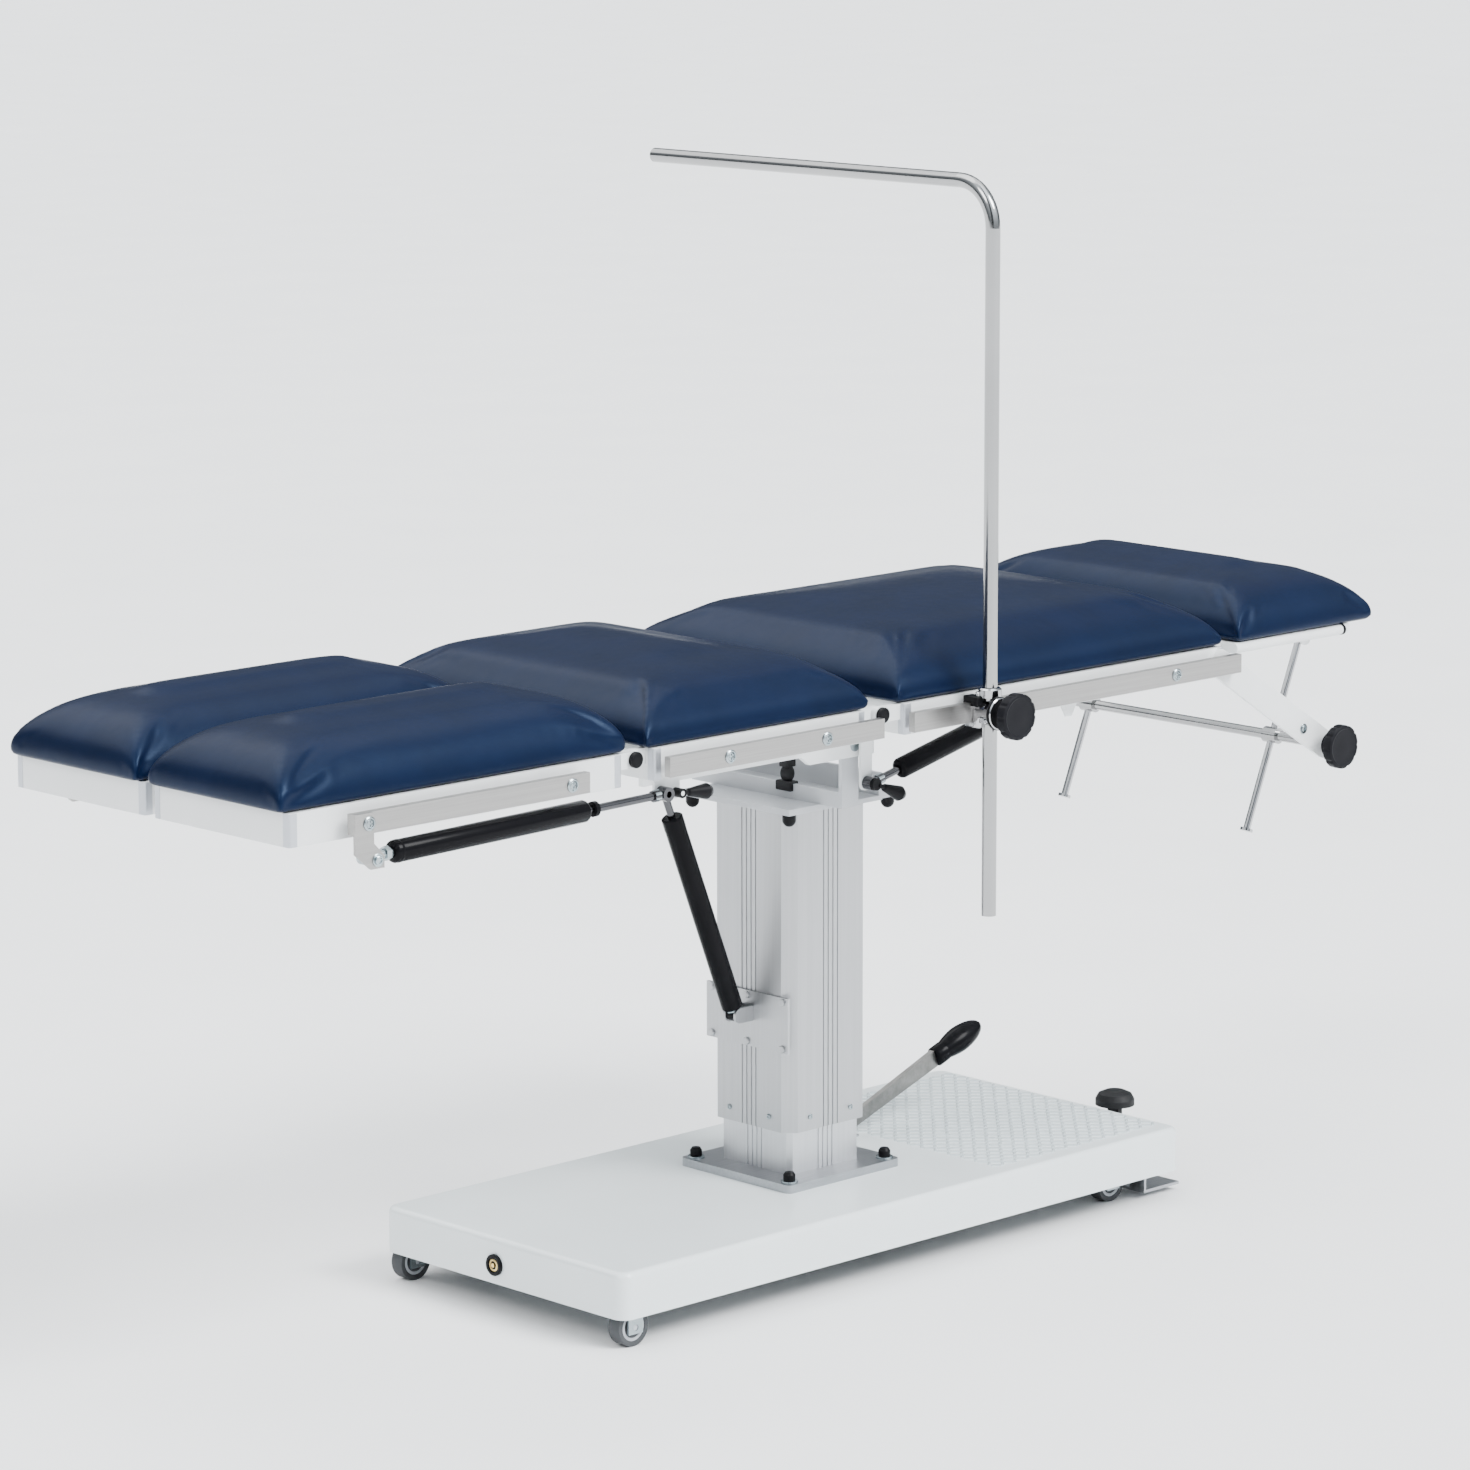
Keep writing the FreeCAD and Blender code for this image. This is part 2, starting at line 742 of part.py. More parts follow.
def make_glides():
    """Eight plastic strips at the top of the inner profile, two beside the grooves of each face."""
    thickness = "outer_side / 2 - outer_wall - inner_side / 2 - moving_gap"
    strips = []
    for number, (axis_x, sign) in enumerate(((True, "1"), (True, "-1"), (False, "1"), (False, "-1"))):
        for end, shift in (("a", "-1"), ("b", "1")):
            middle = f"{shift} * (1.5 * groove_pitch + groove_width + glide_width / 2)"
            face = f"{sign} * (inner_side / 2 + ({thickness}) / 2)"
            sizes = (thickness, "glide_width") if axis_x else ("glide_width", thickness)
            x, y = (face, middle) if axis_x else (middle, face)
            strips.append(block(f"glide_{number}_{end}", sizes[0], sizes[1], "glide_height",
                                f"{x} - ({sizes[0]}) / 2", f"{y} - ({sizes[1]}) / 2",
                                "inner_top - glide_height"))
    return group("glide_strips", strips)


def make_yoke():
    """Head plate, folded channel and two uprights that carry the tilt pins, welded where they touch."""
    head = plate("yoke_head", "XY_Plane", [square("head_plate_side / 2")], "head_plate_thickness",
                 both_ways=False)
    place(head, "0", "0", "outer_top")
    web = "outer_top + head_plate_thickness"
    channel = plate("yoke_channel", "XZ_Plane", [[
        ("-yoke_front", "0"), ("yoke_back", "0"), ("yoke_back", "yoke_back_height"),
        ("yoke_back - yoke_wall", "yoke_back_height"), ("yoke_back - yoke_wall", "yoke_wall"),
        ("yoke_wall - yoke_front", "yoke_wall"), ("yoke_wall - yoke_front", "yoke_front_height"),
        ("-yoke_front", "yoke_front_height")]], "yoke_span - 2 * yoke_wall")
    place(channel, "0", "0", web)
    parts = [head, channel]
    centre = "upright_width / 2 - yoke_front"
    for name, side in (("near", "-1"), ("far", "1")):
        upright = new_body(f"yoke_upright_{name}")
        top = "tilt_height + upright_rise"
        solid = pad(upright, sketch(upright, "XZ_Plane", [rectangle("-yoke_front", "upright_width - yoke_front",
                                                                  web, top)],
                                    [(centre, "tilt_height", "tilt_pin_radius")]), "yoke_wall", True)
        document.recompute()
        high = solid.Shape.BoundBox.ZMax
        round_edges(upright, solid, lambda edge: abs(direction(edge).y) > 0.99 and
                    edge.BoundBox.ZMin > high - 1, "upright_corner")
        parts.append(place(upright, "0", f"{side} * (yoke_span - yoke_wall) / 2", "0"))
    return [group("tilt_yoke", parts + make_head_nuts())]


def make_head_nuts():
    """Capped nuts that hang under the corners of the head plate."""
    nuts = []
    for number, (x, y) in enumerate(at_corners("(head_plate_side / 2 - head_nut_inset)")):
        cap = turned(f"head_nut_{number + 1}", [
            ("0", "0"), ("cap_radius", "0"), ("cap_radius", "-(cap_height - cap_radius * 0.6)"),
            ("cap_radius * 0.7", "-(cap_height - cap_radius * 0.15)"), ("0", "-cap_height")])
        nuts.append(place(cap, x, y, "outer_top"))
    return nuts


def make_tilt_bracket():
    """Plate with two ears on the leg-side face of the outer profile, and its six screws."""
    face = "outer_side / 2"
    back = block("tilt_bracket_plate", "bracket_thickness", "bracket_width", "bracket_height",
                 f"-({face}) - bracket_thickness", "-bracket_width / 2", "bracket_bottom")
    ears = [ear_plate(f"tilt_bracket_ear_{name}", f"-({face})", "-tilt_spring_lower_x", "tilt_spring_lower_z",
                      f"{side} * (eye_thickness / 2 + moving_gap + ear_thickness / 2)")
            for name, side in (("near", "-1"), ("far", "1"))]
    screws = []
    for row, z in enumerate(("-1", "1")):
        for column, y in enumerate(("-1", "0", "1")):
            screw = turned(f"bracket_screw_{row}{column}", [
                ("0", "0"), ("bracket_screw_radius", "0"), ("bracket_screw_radius", "bracket_screw_height - 1"),
                ("bracket_screw_radius - 1", "bracket_screw_height"), ("0", "bracket_screw_height")])
            screws.append(place(screw, f"-({face}) - bracket_thickness", f"{y} * bracket_screw_span",
                                f"bracket_bottom + bracket_height / 2 + {z} * bracket_screw_rise", ALONG, "-90"))
    pin = spring_pin("tilt_bracket_pin", "-tilt_spring_lower_x", "0", "tilt_spring_lower_z")
    return [group("tilt_spring_bracket", [joined("tilt_bracket_weldment", [back, pin] + ears)] + screws)]


def ear_plate(label, root_x, pivot_x, pivot_z, y):
    """An upright ear with a round end about a pivot, standing out from a face at root_x."""
    ear = new_body(label)
    solid = pad(ear, sketch(ear, "XZ_Plane", [rectangle(f"({pivot_x}) - ear_radius", root_x,
                                                      f"({pivot_z}) - ear_radius", f"({pivot_z}) + ear_radius")],
                            ), "ear_thickness", True)
    document.recompute()
    left = solid.Shape.BoundBox.XMin
    round_edges(ear, solid, lambda edge: abs(direction(edge).y) > 0.99 and edge.BoundBox.XMax < left + 1
                and edge.Curve.TypeId == "Part::GeomLine", "ear_corner")
    return place(ear, "0", y, "0")


def make_pan(label, x0, x1, y0, y1):
    """A folded pan: a flat top with a flange all round, open underneath."""
    body = new_body(label)
    top = pad(body, sketch(body, "XY_Plane", [rectangle(x0, x1, y0, y1)]), "pan_height")
    corners = round_edges(body, top, is_upright, "pan_corner")
    inner = rectangle(f"({x0}) + pan_wall", f"({x1}) - pan_wall", f"({y0}) + pan_wall", f"({y1}) - pan_wall")
    pocket(body, sketch(body, "XY_Plane", [inner]), "pan_height - pan_wall", reverse=True)
    return place(body, "0", "0", "top_height - pan_height")


def make_lug(label, root_x, hinge_x, y, towards, kind="", pin="hinge_pin_radius", height="hinge_height"):
    """A hinge lug: a plate from a section's end face to a round end about the hinge pin."""
    radius = kind + "lug_radius"
    low, high = f"-{radius}", radius
    end = f"({hinge_x}) {towards} {radius}"
    left, right = (root_x, end) if towards == "+" else (end, root_x)
    body = new_body(label)
    solid = pad(body, sketch(body, "XZ_Plane", [rectangle(left, right, low, high)],
                             [(hinge_x, "0", f"{pin} + running_gap")] if pin else ()), "lug_thickness", True)
    document.recompute()
    box = solid.Shape.BoundBox
    limit = box.XMax if towards == "+" else box.XMin
    round_edges(body, solid, lambda edge: abs(direction(edge).y) > 0.99 and
                abs(edge.BoundBox.Center.x - limit) < 1 and edge.Curve.TypeId == "Part::GeomLine",
                kind + "lug_corner")
    return place(body, "0", y, height)


def make_leg(name, side):
    """One leg plate: pan with two hinge lugs."""
    inner, outer = "leg_gap / 2", "table_width / 2"
    y0, y1 = (f"-{outer}", f"-{inner}") if side == "-" else (inner, outer)
    pan = make_pan(f"leg_pan_{name}_form", "-leg_outer", "-leg_inner", y0, y1)
    lugs = []
    for end, y in (("outer", "table_width / 2 - lug_inset + lug_thickness / 2 + moving_gap / 2"),
                   ("inner", "leg_gap / 2 + lug_inset - lug_thickness / 2 - moving_gap / 2")):
        lugs.append(make_lug(f"leg_lug_{name}_{end}", "-leg_inner", "-leg_hinge_x", f"{side}({y})", "+"))
    return joined(f"leg_pan_{name}", [pan] + lugs)


def make_rails(label, x0, x1, inset, sides):
    """Flat rails on spacers beside a section."""
    bars = []
    low = "top_height - rail_drop - rail_height"
    for name, sign in sides:
        inner = f"(table_width / 2 + rail_standoff)"
        y = f"-({inner} + rail_thickness)" if sign == "-" else inner
        bar = block(f"{label}_{name}_bar", f"({x1}) - ({x0})", "rail_thickness", "rail_height", x0, y, low)
        spacers = []
        for end, x in (("a", f"({x0}) + {inset}"), ("b", f"({x1}) - {inset}")):
            start = "-table_width / 2" if sign == "-" else "table_width / 2 + rail_standoff"
            spacers.append(rod(f"{label}_{name}_spacer_{end}", "spacer_radius", "rail_standoff", x, start,
                               f"{low} + rail_height / 2", ACROSS, "90"))
        bars.append(joined(f"{label}_{name}_side", [bar] + spacers))
    return bars


def make_leg_bracket(name, side):
    """Flat bracket on a leg rail's outer end, with the pin and collar of the leg's gas spring."""
    face = "(table_width / 2 + rail_standoff + rail_thickness)"
    x, z = "-leg_spring_outer_x", "leg_spring_outer_z"
    outer = "-leg_rail_outer"
    top = "top_height - rail_drop"
    sheet = plate(f"leg_bracket_{name}_plate", "XZ_Plane", [[
        (outer, top), (f"{outer} + leg_bracket_width", top),
        (f"{outer} + leg_bracket_width", f"{z} + 2 * ear_radius"), (f"{x} + ear_radius", f"{z} + ear_radius * 0.5"),
        (f"{x} + ear_radius", f"{z} - ear_radius"), (f"{x} - ear_radius", f"{z} - ear_radius"),
        (outer, f"{z} + ear_radius")]], "leg_bracket_thickness")
    place(sheet, "0", f"{side} * ({face} + leg_bracket_thickness / 2)", "0")
    parts = [sheet]
    reach = f"({face} - leg_spring_y + eye_thickness / 2)"
    for kind, radius, length in (("pin", "eye_bore", reach),
                                 ("collar", "collar_ring_radius", f"{reach} - eye_thickness - moving_gap")):
        middle = f"{side} * ({face} - ({length}) / 2)"
        parts.append(rod(f"leg_bracket_{name}_{kind}", radius, length, x, f"{middle} + ({length}) / 2", z,
                         ACROSS, "90"))
    return joined(f"leg_bracket_{name}", parts)


def make_cushion(label, x0, x1, y0, y1, height, crown):
    """A crowned pad: flat underneath, rounded down to its lower edge on all four sides."""
    body = new_body(label)
    solid = pad(body, sketch(body, "XY_Plane", [rectangle(x0, x1, y0, y1)]), height)
    document.recompute()
    top = solid.Shape.BoundBox.ZMax
    round_edges(body, solid, lambda edge: edge.BoundBox.ZMin > top - 1, crown)
    return place(body, "0", "0", "top_height + cushion_rest_gap")


def make_sections():
    half = "table_width / 2"
    pieces = []
    for name, side in (("near", "-"), ("far", "")):
        pieces.append(make_leg(name, side))
        rail = make_rails(f"leg_rail_{name}", "-leg_rail_outer", "-leg_rail_inner", "leg_spacer_inset",
                          [(name, side or "+")])
        pieces.append(joined(f"leg_rail_{name}", rail + [make_leg_bracket(name, "-1" if side else "1")]))
        y0, y1 = (f"-{half}", "-leg_gap / 2") if side == "-" else ("leg_gap / 2", half)
        pieces.append(make_cushion(f"leg_cushion_{name}", "-leg_outer - leg_cushion_overhang",
                                   "cushion_overhang - leg_inner", y0, y1, "cushion_height", "cushion_crown"))
    pieces += make_seat() + make_back()
    return pieces


def make_seat():
    """Seat pan with the lugs of both hinges, and the pins that they carry."""
    half = "table_width / 2"
    pan = make_pan("seat_pan_form", "-seat_front", "-seat_back", "-" + half, half)
    lugs = []
    for name, side in (("near", "-"), ("far", "")):
        outer = f"{side}(table_width / 2 - lug_inset - lug_thickness / 2 - moving_gap / 2)"
        inner = f"{side}(leg_gap / 2 + lug_inset + lug_thickness / 2 + moving_gap / 2)"
        lugs.append(make_lug(f"seat_leg_lug_{name}_outer", "-seat_front", "-leg_hinge_x", outer, "-"))
        lugs.append(make_lug(f"seat_leg_lug_{name}_inner", "-seat_front", "-leg_hinge_x", inner, "-"))
        lugs.append(make_lug(f"seat_back_lug_{name}", "-seat_back", "-back_hinge_x", outer, "+"))
    pins = []
    for name, side in (("near", "-"), ("far", "")):
        length = "table_width / 2 - leg_gap / 2 - 2 * (lug_inset - lug_thickness - 1)"
        start = f"{side}(leg_gap / 2 + lug_inset - lug_thickness - 1)" if side == "" else \
            "-(table_width / 2 - lug_inset + lug_thickness + 1)"
        pins.append(rod(f"leg_pin_{name}", "hinge_pin_radius", length, "-leg_hinge_x",
                        f"{start} + ({length})", "hinge_height", ACROSS, "90"))
        short = "2 * lug_thickness + moving_gap + 4"
        begin = f"{side}(table_width / 2 - lug_inset) - ({short}) / 2"
        pins.append(rod(f"back_pin_{name}", "hinge_pin_radius", short, "-back_hinge_x",
                        f"{begin} + {short}", "hinge_height", ACROSS, "90"))
        lugs += make_leg_ear(name, "-1" if side else "1")
    seat = joined("seat_pan", [pan] + lugs)
    rails = make_rails("seat_rails", "-seat_rail_front", "-seat_rail_back", "seat_spacer_inset",
                       [("near", "-"), ("far", "+")])
    cushion = make_cushion("seat_cushion", "-seat_front - cushion_overhang", "cushion_overhang - seat_back",
                           "-" + half, half, "cushion_height", "cushion_crown")
    return [seat, group("hinge_pins", pins), group("seat_rails", rails), cushion]


def make_leg_ear(name, side):
    """Ear under the seat for the inner end of a leg's gas spring, with the pin of its release lever."""
    low = "leg_spring_inner_z - ear_radius"
    high = "top_height - pan_height + ear_radius"
    outer = "(leg_spring_y - eye_thickness / 2 - moving_gap)"
    ear = plate(f"leg_spring_ear_{name}", "XZ_Plane", [[
        ("-leg_spring_inner_x - ear_radius", f"{low} + ear_radius / 2"), ("-leg_spring_inner_x - ear_radius / 2", low),
        ("-leg_ear_end - ear_radius / 2", low), ("-leg_ear_end", f"{low} + ear_radius / 2"),
        ("-leg_ear_end", high), ("-leg_spring_inner_x - ear_radius", high)]], "ear_thickness")
    place(ear, "0", f"{side} * ({outer} - ear_thickness / 2)", "0")
    pin = rod(f"leg_release_pin_{name}", "lever_hub_bore", "leg_lever_pin + ear_thickness", "-leg_lever_x",
              f"{side} * ({outer} - ear_thickness / 2 + leg_lever_pin / 2) + (leg_lever_pin + ear_thickness) / 2",
              "leg_lever_z", ACROSS, "90")
    return [ear, pin]


def make_back():
    half = "table_width / 2"
    pan = make_pan("back_pan_form", "-back_front", "back_end", "-" + half, half)
    lugs = [make_lug(f"back_lug_{name}", "-back_front", "-back_hinge_x",
                     f"{side}(table_width / 2 - lug_inset + lug_thickness / 2 + moving_gap / 2)", "-")
            for name, side in (("near", "-"), ("far", ""))]
    ears = [hanging_ear(f"back_ear_{name}", "back_spring_upper_x", "back_spring_upper_z",
                        f"-back_spring_y + ({ear_offset(side)})", "top_height - pan_wall")
            for name, side in (("a", "-1"), ("b", "1"))]
    for name, side in (("near", "-"), ("far", "")):
        y = f"{side}(head_lug_y - lug_thickness / 2 - moving_gap / 2)"
        lugs.append(make_lug(f"back_head_lug_{name}", "back_end", "head_hinge_x", y, "+", "head_", None,
                             "head_hinge_z"))
        length = "2 * lug_thickness + moving_gap + 4"
        lugs.append(rod(f"head_pin_{name}", "head_pin_radius", length, "head_hinge_x",
                        f"{side}head_lug_y + ({length}) / 2", "head_hinge_z", ACROSS, "90"))
    ears.append(spring_pin("back_spring_pin", "back_spring_upper_x", "-back_spring_y", "back_spring_upper_z"))
    back = joined("back_pan", [pan] + lugs + ears)
    rails = make_rails("back_rails", "-back_rail_front", "back_rail_end", "back_spacer_inset",
                       [("near", "-"), ("far", "+")])
    cushion = make_cushion("back_cushion", "-back_front - cushion_overhang", "head_hinge_x - cushion_parting",
                           "-" + half, half, "cushion_height", "cushion_crown")
    return [back, group("back_rails", rails), cushion]


def spring_pin(label, x, y, z):
    """The pin that joins two ears through the eye of a gas spring."""
    length = "eye_thickness + 2 * moving_gap + 2 * ear_thickness"
    return rod(label, "eye_bore", length, x, f"({y}) + ({length}) / 2", z, ACROSS, "90")


def slope(x0, z0, x1, z1):
    """The turn about +Y that brings +Z to the line from the first point to the second."""
    return f"atan2(({x1}) - ({x0}); ({z1}) - ({z0}))"


def distance(x0, z0, x1, z1):
    return f"sqrt(pow(({x1}) - ({x0}); 2) + pow(({z1}) - ({z0}); 2))"


def make_eye(label, x, y, z):
    ring = rod(label + "_round", "eye_radius", "eye_thickness", x, f"({y}) + eye_thickness / 2", z, ACROSS, "90")
    bore = rod(label + "_bore", "eye_bore + running_gap", "eye_thickness + 2", x,
               f"({y}) + eye_thickness / 2 + 1", z, ACROSS, "90")
    return drilled(label, ring, [bore])


def make_spring(name, y, start, end, kind, cylinder_label=None, rod_label=None):
    """A gas spring from its cylinder's pivot to its rod's pivot: a tube with an eye, and a rod in it."""
    length = f"({distance(*start, *end)} - {kind}_rod_showing)"
    turn = slope(*start, *end)
    bore = "spring_rod_radius + moving_gap"
    chamber = "(spring_radius - spring_edge)"
    root = "(eye_radius - moving_gap)"
    neck = "neck_radius"
    tube = turned(f"{name}_tube", [("0", root), (neck, root), (neck, "neck_length"), (chamber, "neck_length"),
                                   ("spring_radius", "neck_length + spring_edge"),
                                   ("spring_radius", f"{length} - spring_edge"), (chamber, length),
                                   (bore, length), (bore, f"{length} - spring_cap"),
                                   (chamber, f"{length} - spring_cap"), (chamber, "neck_length + spring_cap"),
                                   ("0", "neck_length + spring_cap")])
    place(tube, start[0], y, start[1], ALONG, turn)
    eye = make_eye(f"{name}_cylinder_eye", start[0], y, start[1])
    cylinder = joined(cylinder_label or f"{name}_cylinder", [tube, eye])
    inside = f"({distance(*start, *end)} - {length} + {kind}_rod_inset)"
    shaft = turned(f"{name}_shaft", [("0", root), (neck, root), (neck, "neck_length"),
                                     ("ferrule_radius", "neck_length"),
                                     ("ferrule_radius", "neck_length + ferrule_length"),
                                     ("spring_rod_radius", "neck_length + ferrule_length"),
                                     ("spring_rod_radius", inside), (f"{chamber} - moving_gap", inside),
                                     (f"{chamber} - moving_gap", f"{inside} + piston_length"),
                                     ("0", f"{inside} + piston_length")])
    place(shaft, end[0], y, end[1], ALONG, f"({turn}) + 180 deg")
    plunger = joined(rod_label or f"{name}_rod", [shaft, make_eye(f"{name}_rod_eye", end[0], y, end[1])])
    return [cylinder, plunger]


def make_handle(label, start, x, y, z, turn):
    """A release handle's grip: a thin stem that widens to a taper, from a distance off its pivot."""
    grip = turned(label, [("0", start), ("handle_stem", start), ("handle_stem", f"{start} + handle_neck"),
                          ("handle_root", f"{start} + handle_neck + handle_flare"),
                          ("handle_tip", f"{start} + handle_length - handle_round"),
                          ("handle_end", f"{start} + handle_length"), ("0", f"{start} + handle_length")])
    return place(grip, x, y, z, ALONG, turn)


def make_leg_release(name, side):
    """Release lever of a leg's gas spring: a hub on the seat's ear and a grip."""
    x, z = "-leg_lever_x", "leg_lever_z"
    inner = "(leg_spring_y - eye_thickness / 2)"
    middle = f"({inner} + leg_lever_pin / 2)"
    hub = rod(f"leg_release_hub_{name}", "lever_hub_radius", "leg_lever_pin", x,
              f"{side} * {middle} + leg_lever_pin / 2", z, ACROSS, "90")
    bore = rod(f"leg_release_bore_{name}", "lever_hub_bore + running_gap", "leg_lever_pin + 2 * drill_over", x,
               f"{side} * {middle} + leg_lever_pin / 2 + drill_over", z, ACROSS, "90")
    grip = make_handle(f"leg_release_grip_{name}", "(lever_hub_bore + running_gap + handle_flare)", x,
                       f"{side} * leg_spring_y", z, "leg_lever_slope")
    return joined(f"leg_release_{name}", [drilled(f"leg_release_drilled_{name}", hub, [bore]), grip])


def make_back_release():
    """Release lever of the back's gas spring: a disc beside the rod's eye, a pin in it and a grip."""
    x, z = "-back_spring_lower_x", "back_spring_lower_z"
    face = "(back_spring_y + eye_thickness / 2 + moving_gap)"
    disc = rod("back_release_disc", "back_lever_radius", "back_lever_plate", x, f"-{face}", z, ACROSS, "90")
    pin = rod("back_release_pin", "eye_bore", "eye_thickness + moving_gap", x,
              f"eye_thickness + moving_gap - {face}", z, ACROSS, "90")
    grip = make_handle("back_release_grip", "eye_bore", x, f"-{face} - handle_stem - moving_gap", z,
                       "back_lever_slope")
    return joined("back_release", [disc, pin, grip])


def hanging_ear(label, x, z, y, top):
    """An ear that hangs from a frame down round a spring's pivot."""
    ear = new_body(label)
    solid = pad(ear, sketch(ear, "XZ_Plane", [rectangle(f"({x}) - ear_radius", f"({x}) + ear_radius",
                                                      f"({z}) - ear_radius", top)]), "ear_thickness", True)
    document.recompute()
    low = solid.Shape.BoundBox.ZMin
    round_edges(ear, solid, lambda edge: abs(direction(edge).y) > 0.99 and edge.BoundBox.ZMax < low + 1,
                "ear_corner")
    return place(ear, "0", y, "0")


def ear_offset(side):
    return f"{side} * (eye_thickness / 2 + moving_gap + ear_thickness / 2)"


def make_tilt_frame():
    """Two bars outside the yoke's uprights, joined by crossbars inside the seat pan, and the tilt pins."""
    bar_y = "(yoke_span / 2 + moving_gap + bar_thickness / 2)"
    top = "top_height - pan_height"
    parts = []
    pins = []
    pivot_x = "upright_width / 2 - yoke_front"
    for name, side in (("near", "-1"), ("far", "1")):
        bar = plate(f"tilt_bar_{name}", "XZ_Plane", [[
            ("-bar_front", f"{top} - bar_height"), ("-bar_step", f"{top} - bar_height"),
            ("-bar_step + bar_nose", "tilt_height - bar_nose"), ("bar_back", "tilt_height - bar_nose"),
            ("bar_back", "tilt_height + bar_nose"), ("-bar_step", "tilt_height + bar_nose"),
            ("-bar_step", top), ("-bar_front", top)]], "bar_thickness",
            [(pivot_x, "tilt_height", "tilt_pin_radius")])
        parts.append(place(bar, "0", f"{side} * {bar_y}", "0"))
        length = "bar_thickness + moving_gap + yoke_wall + 2"
        middle = f"{side} * (yoke_span / 2 + (bar_thickness + moving_gap - yoke_wall) / 2)"
        pins.append(rod(f"tilt_pin_{name}", "tilt_pin_radius - running_gap", length, pivot_x,
                        f"{middle} + ({length}) / 2", "tilt_height", ACROSS, "90"))
    for name, x in (("a", "-seat_front + 60"), ("b", "-seat_back - 60 - bar_crossbar_width")):
        parts.append(block(f"tilt_crossbar_{name}", "bar_crossbar_width", "table_width - 2 * pan_wall",
                           "bar_crossbar_height", x, "pan_wall - table_width / 2", top))
    middle = block("tilt_crossbar_c", "bar_crossbar_width", f"2 * ({bar_y}) - bar_thickness",
                   "bar_crossbar_height", "-tilt_spring_upper_x - bar_crossbar_width / 2",
                   f"bar_thickness / 2 - {bar_y}", f"{top} - bar_crossbar_height")
    parts.append(middle)
    for name, side in (("near", "-1"), ("far", "1")):
        parts.append(hanging_ear(f"tilt_ear_{name}", "-tilt_spring_upper_x", "tilt_spring_upper_z",
                                 ear_offset(side), f"{top} - bar_crossbar_height"))
    parts.append(hanging_ear("back_spring_ear", "-back_spring_lower_x", "back_spring_lower_z",
                             f"-(back_spring_y) + ({ear_offset('1')})", "tilt_height + bar_nose"))
    near = f"({bar_y} + bar_thickness / 2)"
    far = "(back_spring_y - eye_thickness / 2 - moving_gap)"
    parts.append(block("back_spring_spacer", "ear_radius - back_spring_lower_x - pin_clear_x", f"{far} - {near}",
                       "2 * bar_nose", "pin_clear_x", f"-{far}", "tilt_height - bar_nose"))
    return [joined("tilt_frame", parts), group("tilt_pins", pins)]


def make_springs():
    tilt = make_spring("tilt", "0", ("-tilt_spring_lower_x", "tilt_spring_lower_z"),
                       ("-tilt_spring_upper_x", "tilt_spring_upper_z"), "tilt")
    pieces = tilt
    outer = ("-leg_spring_outer_x", "leg_spring_outer_z")
    inner = ("-leg_spring_inner_x", "leg_spring_inner_z")
    for name, side in (("near", "-"), ("far", "")):
        pieces += make_spring(f"leg_{name}", f"{side}leg_spring_y", outer, inner, "leg",
                              f"leg_cylinder_{name}", f"leg_rod_{name}")
        pieces.append(make_leg_release(name, "-1" if side else "1"))
    upper = ("back_spring_upper_x", "back_spring_upper_z")
    lower = ("-back_spring_lower_x", "back_spring_lower_z")
    pieces += make_spring("back", "-back_spring_y", upper, lower, "back")
    pieces.append(make_back_release())
    return pieces


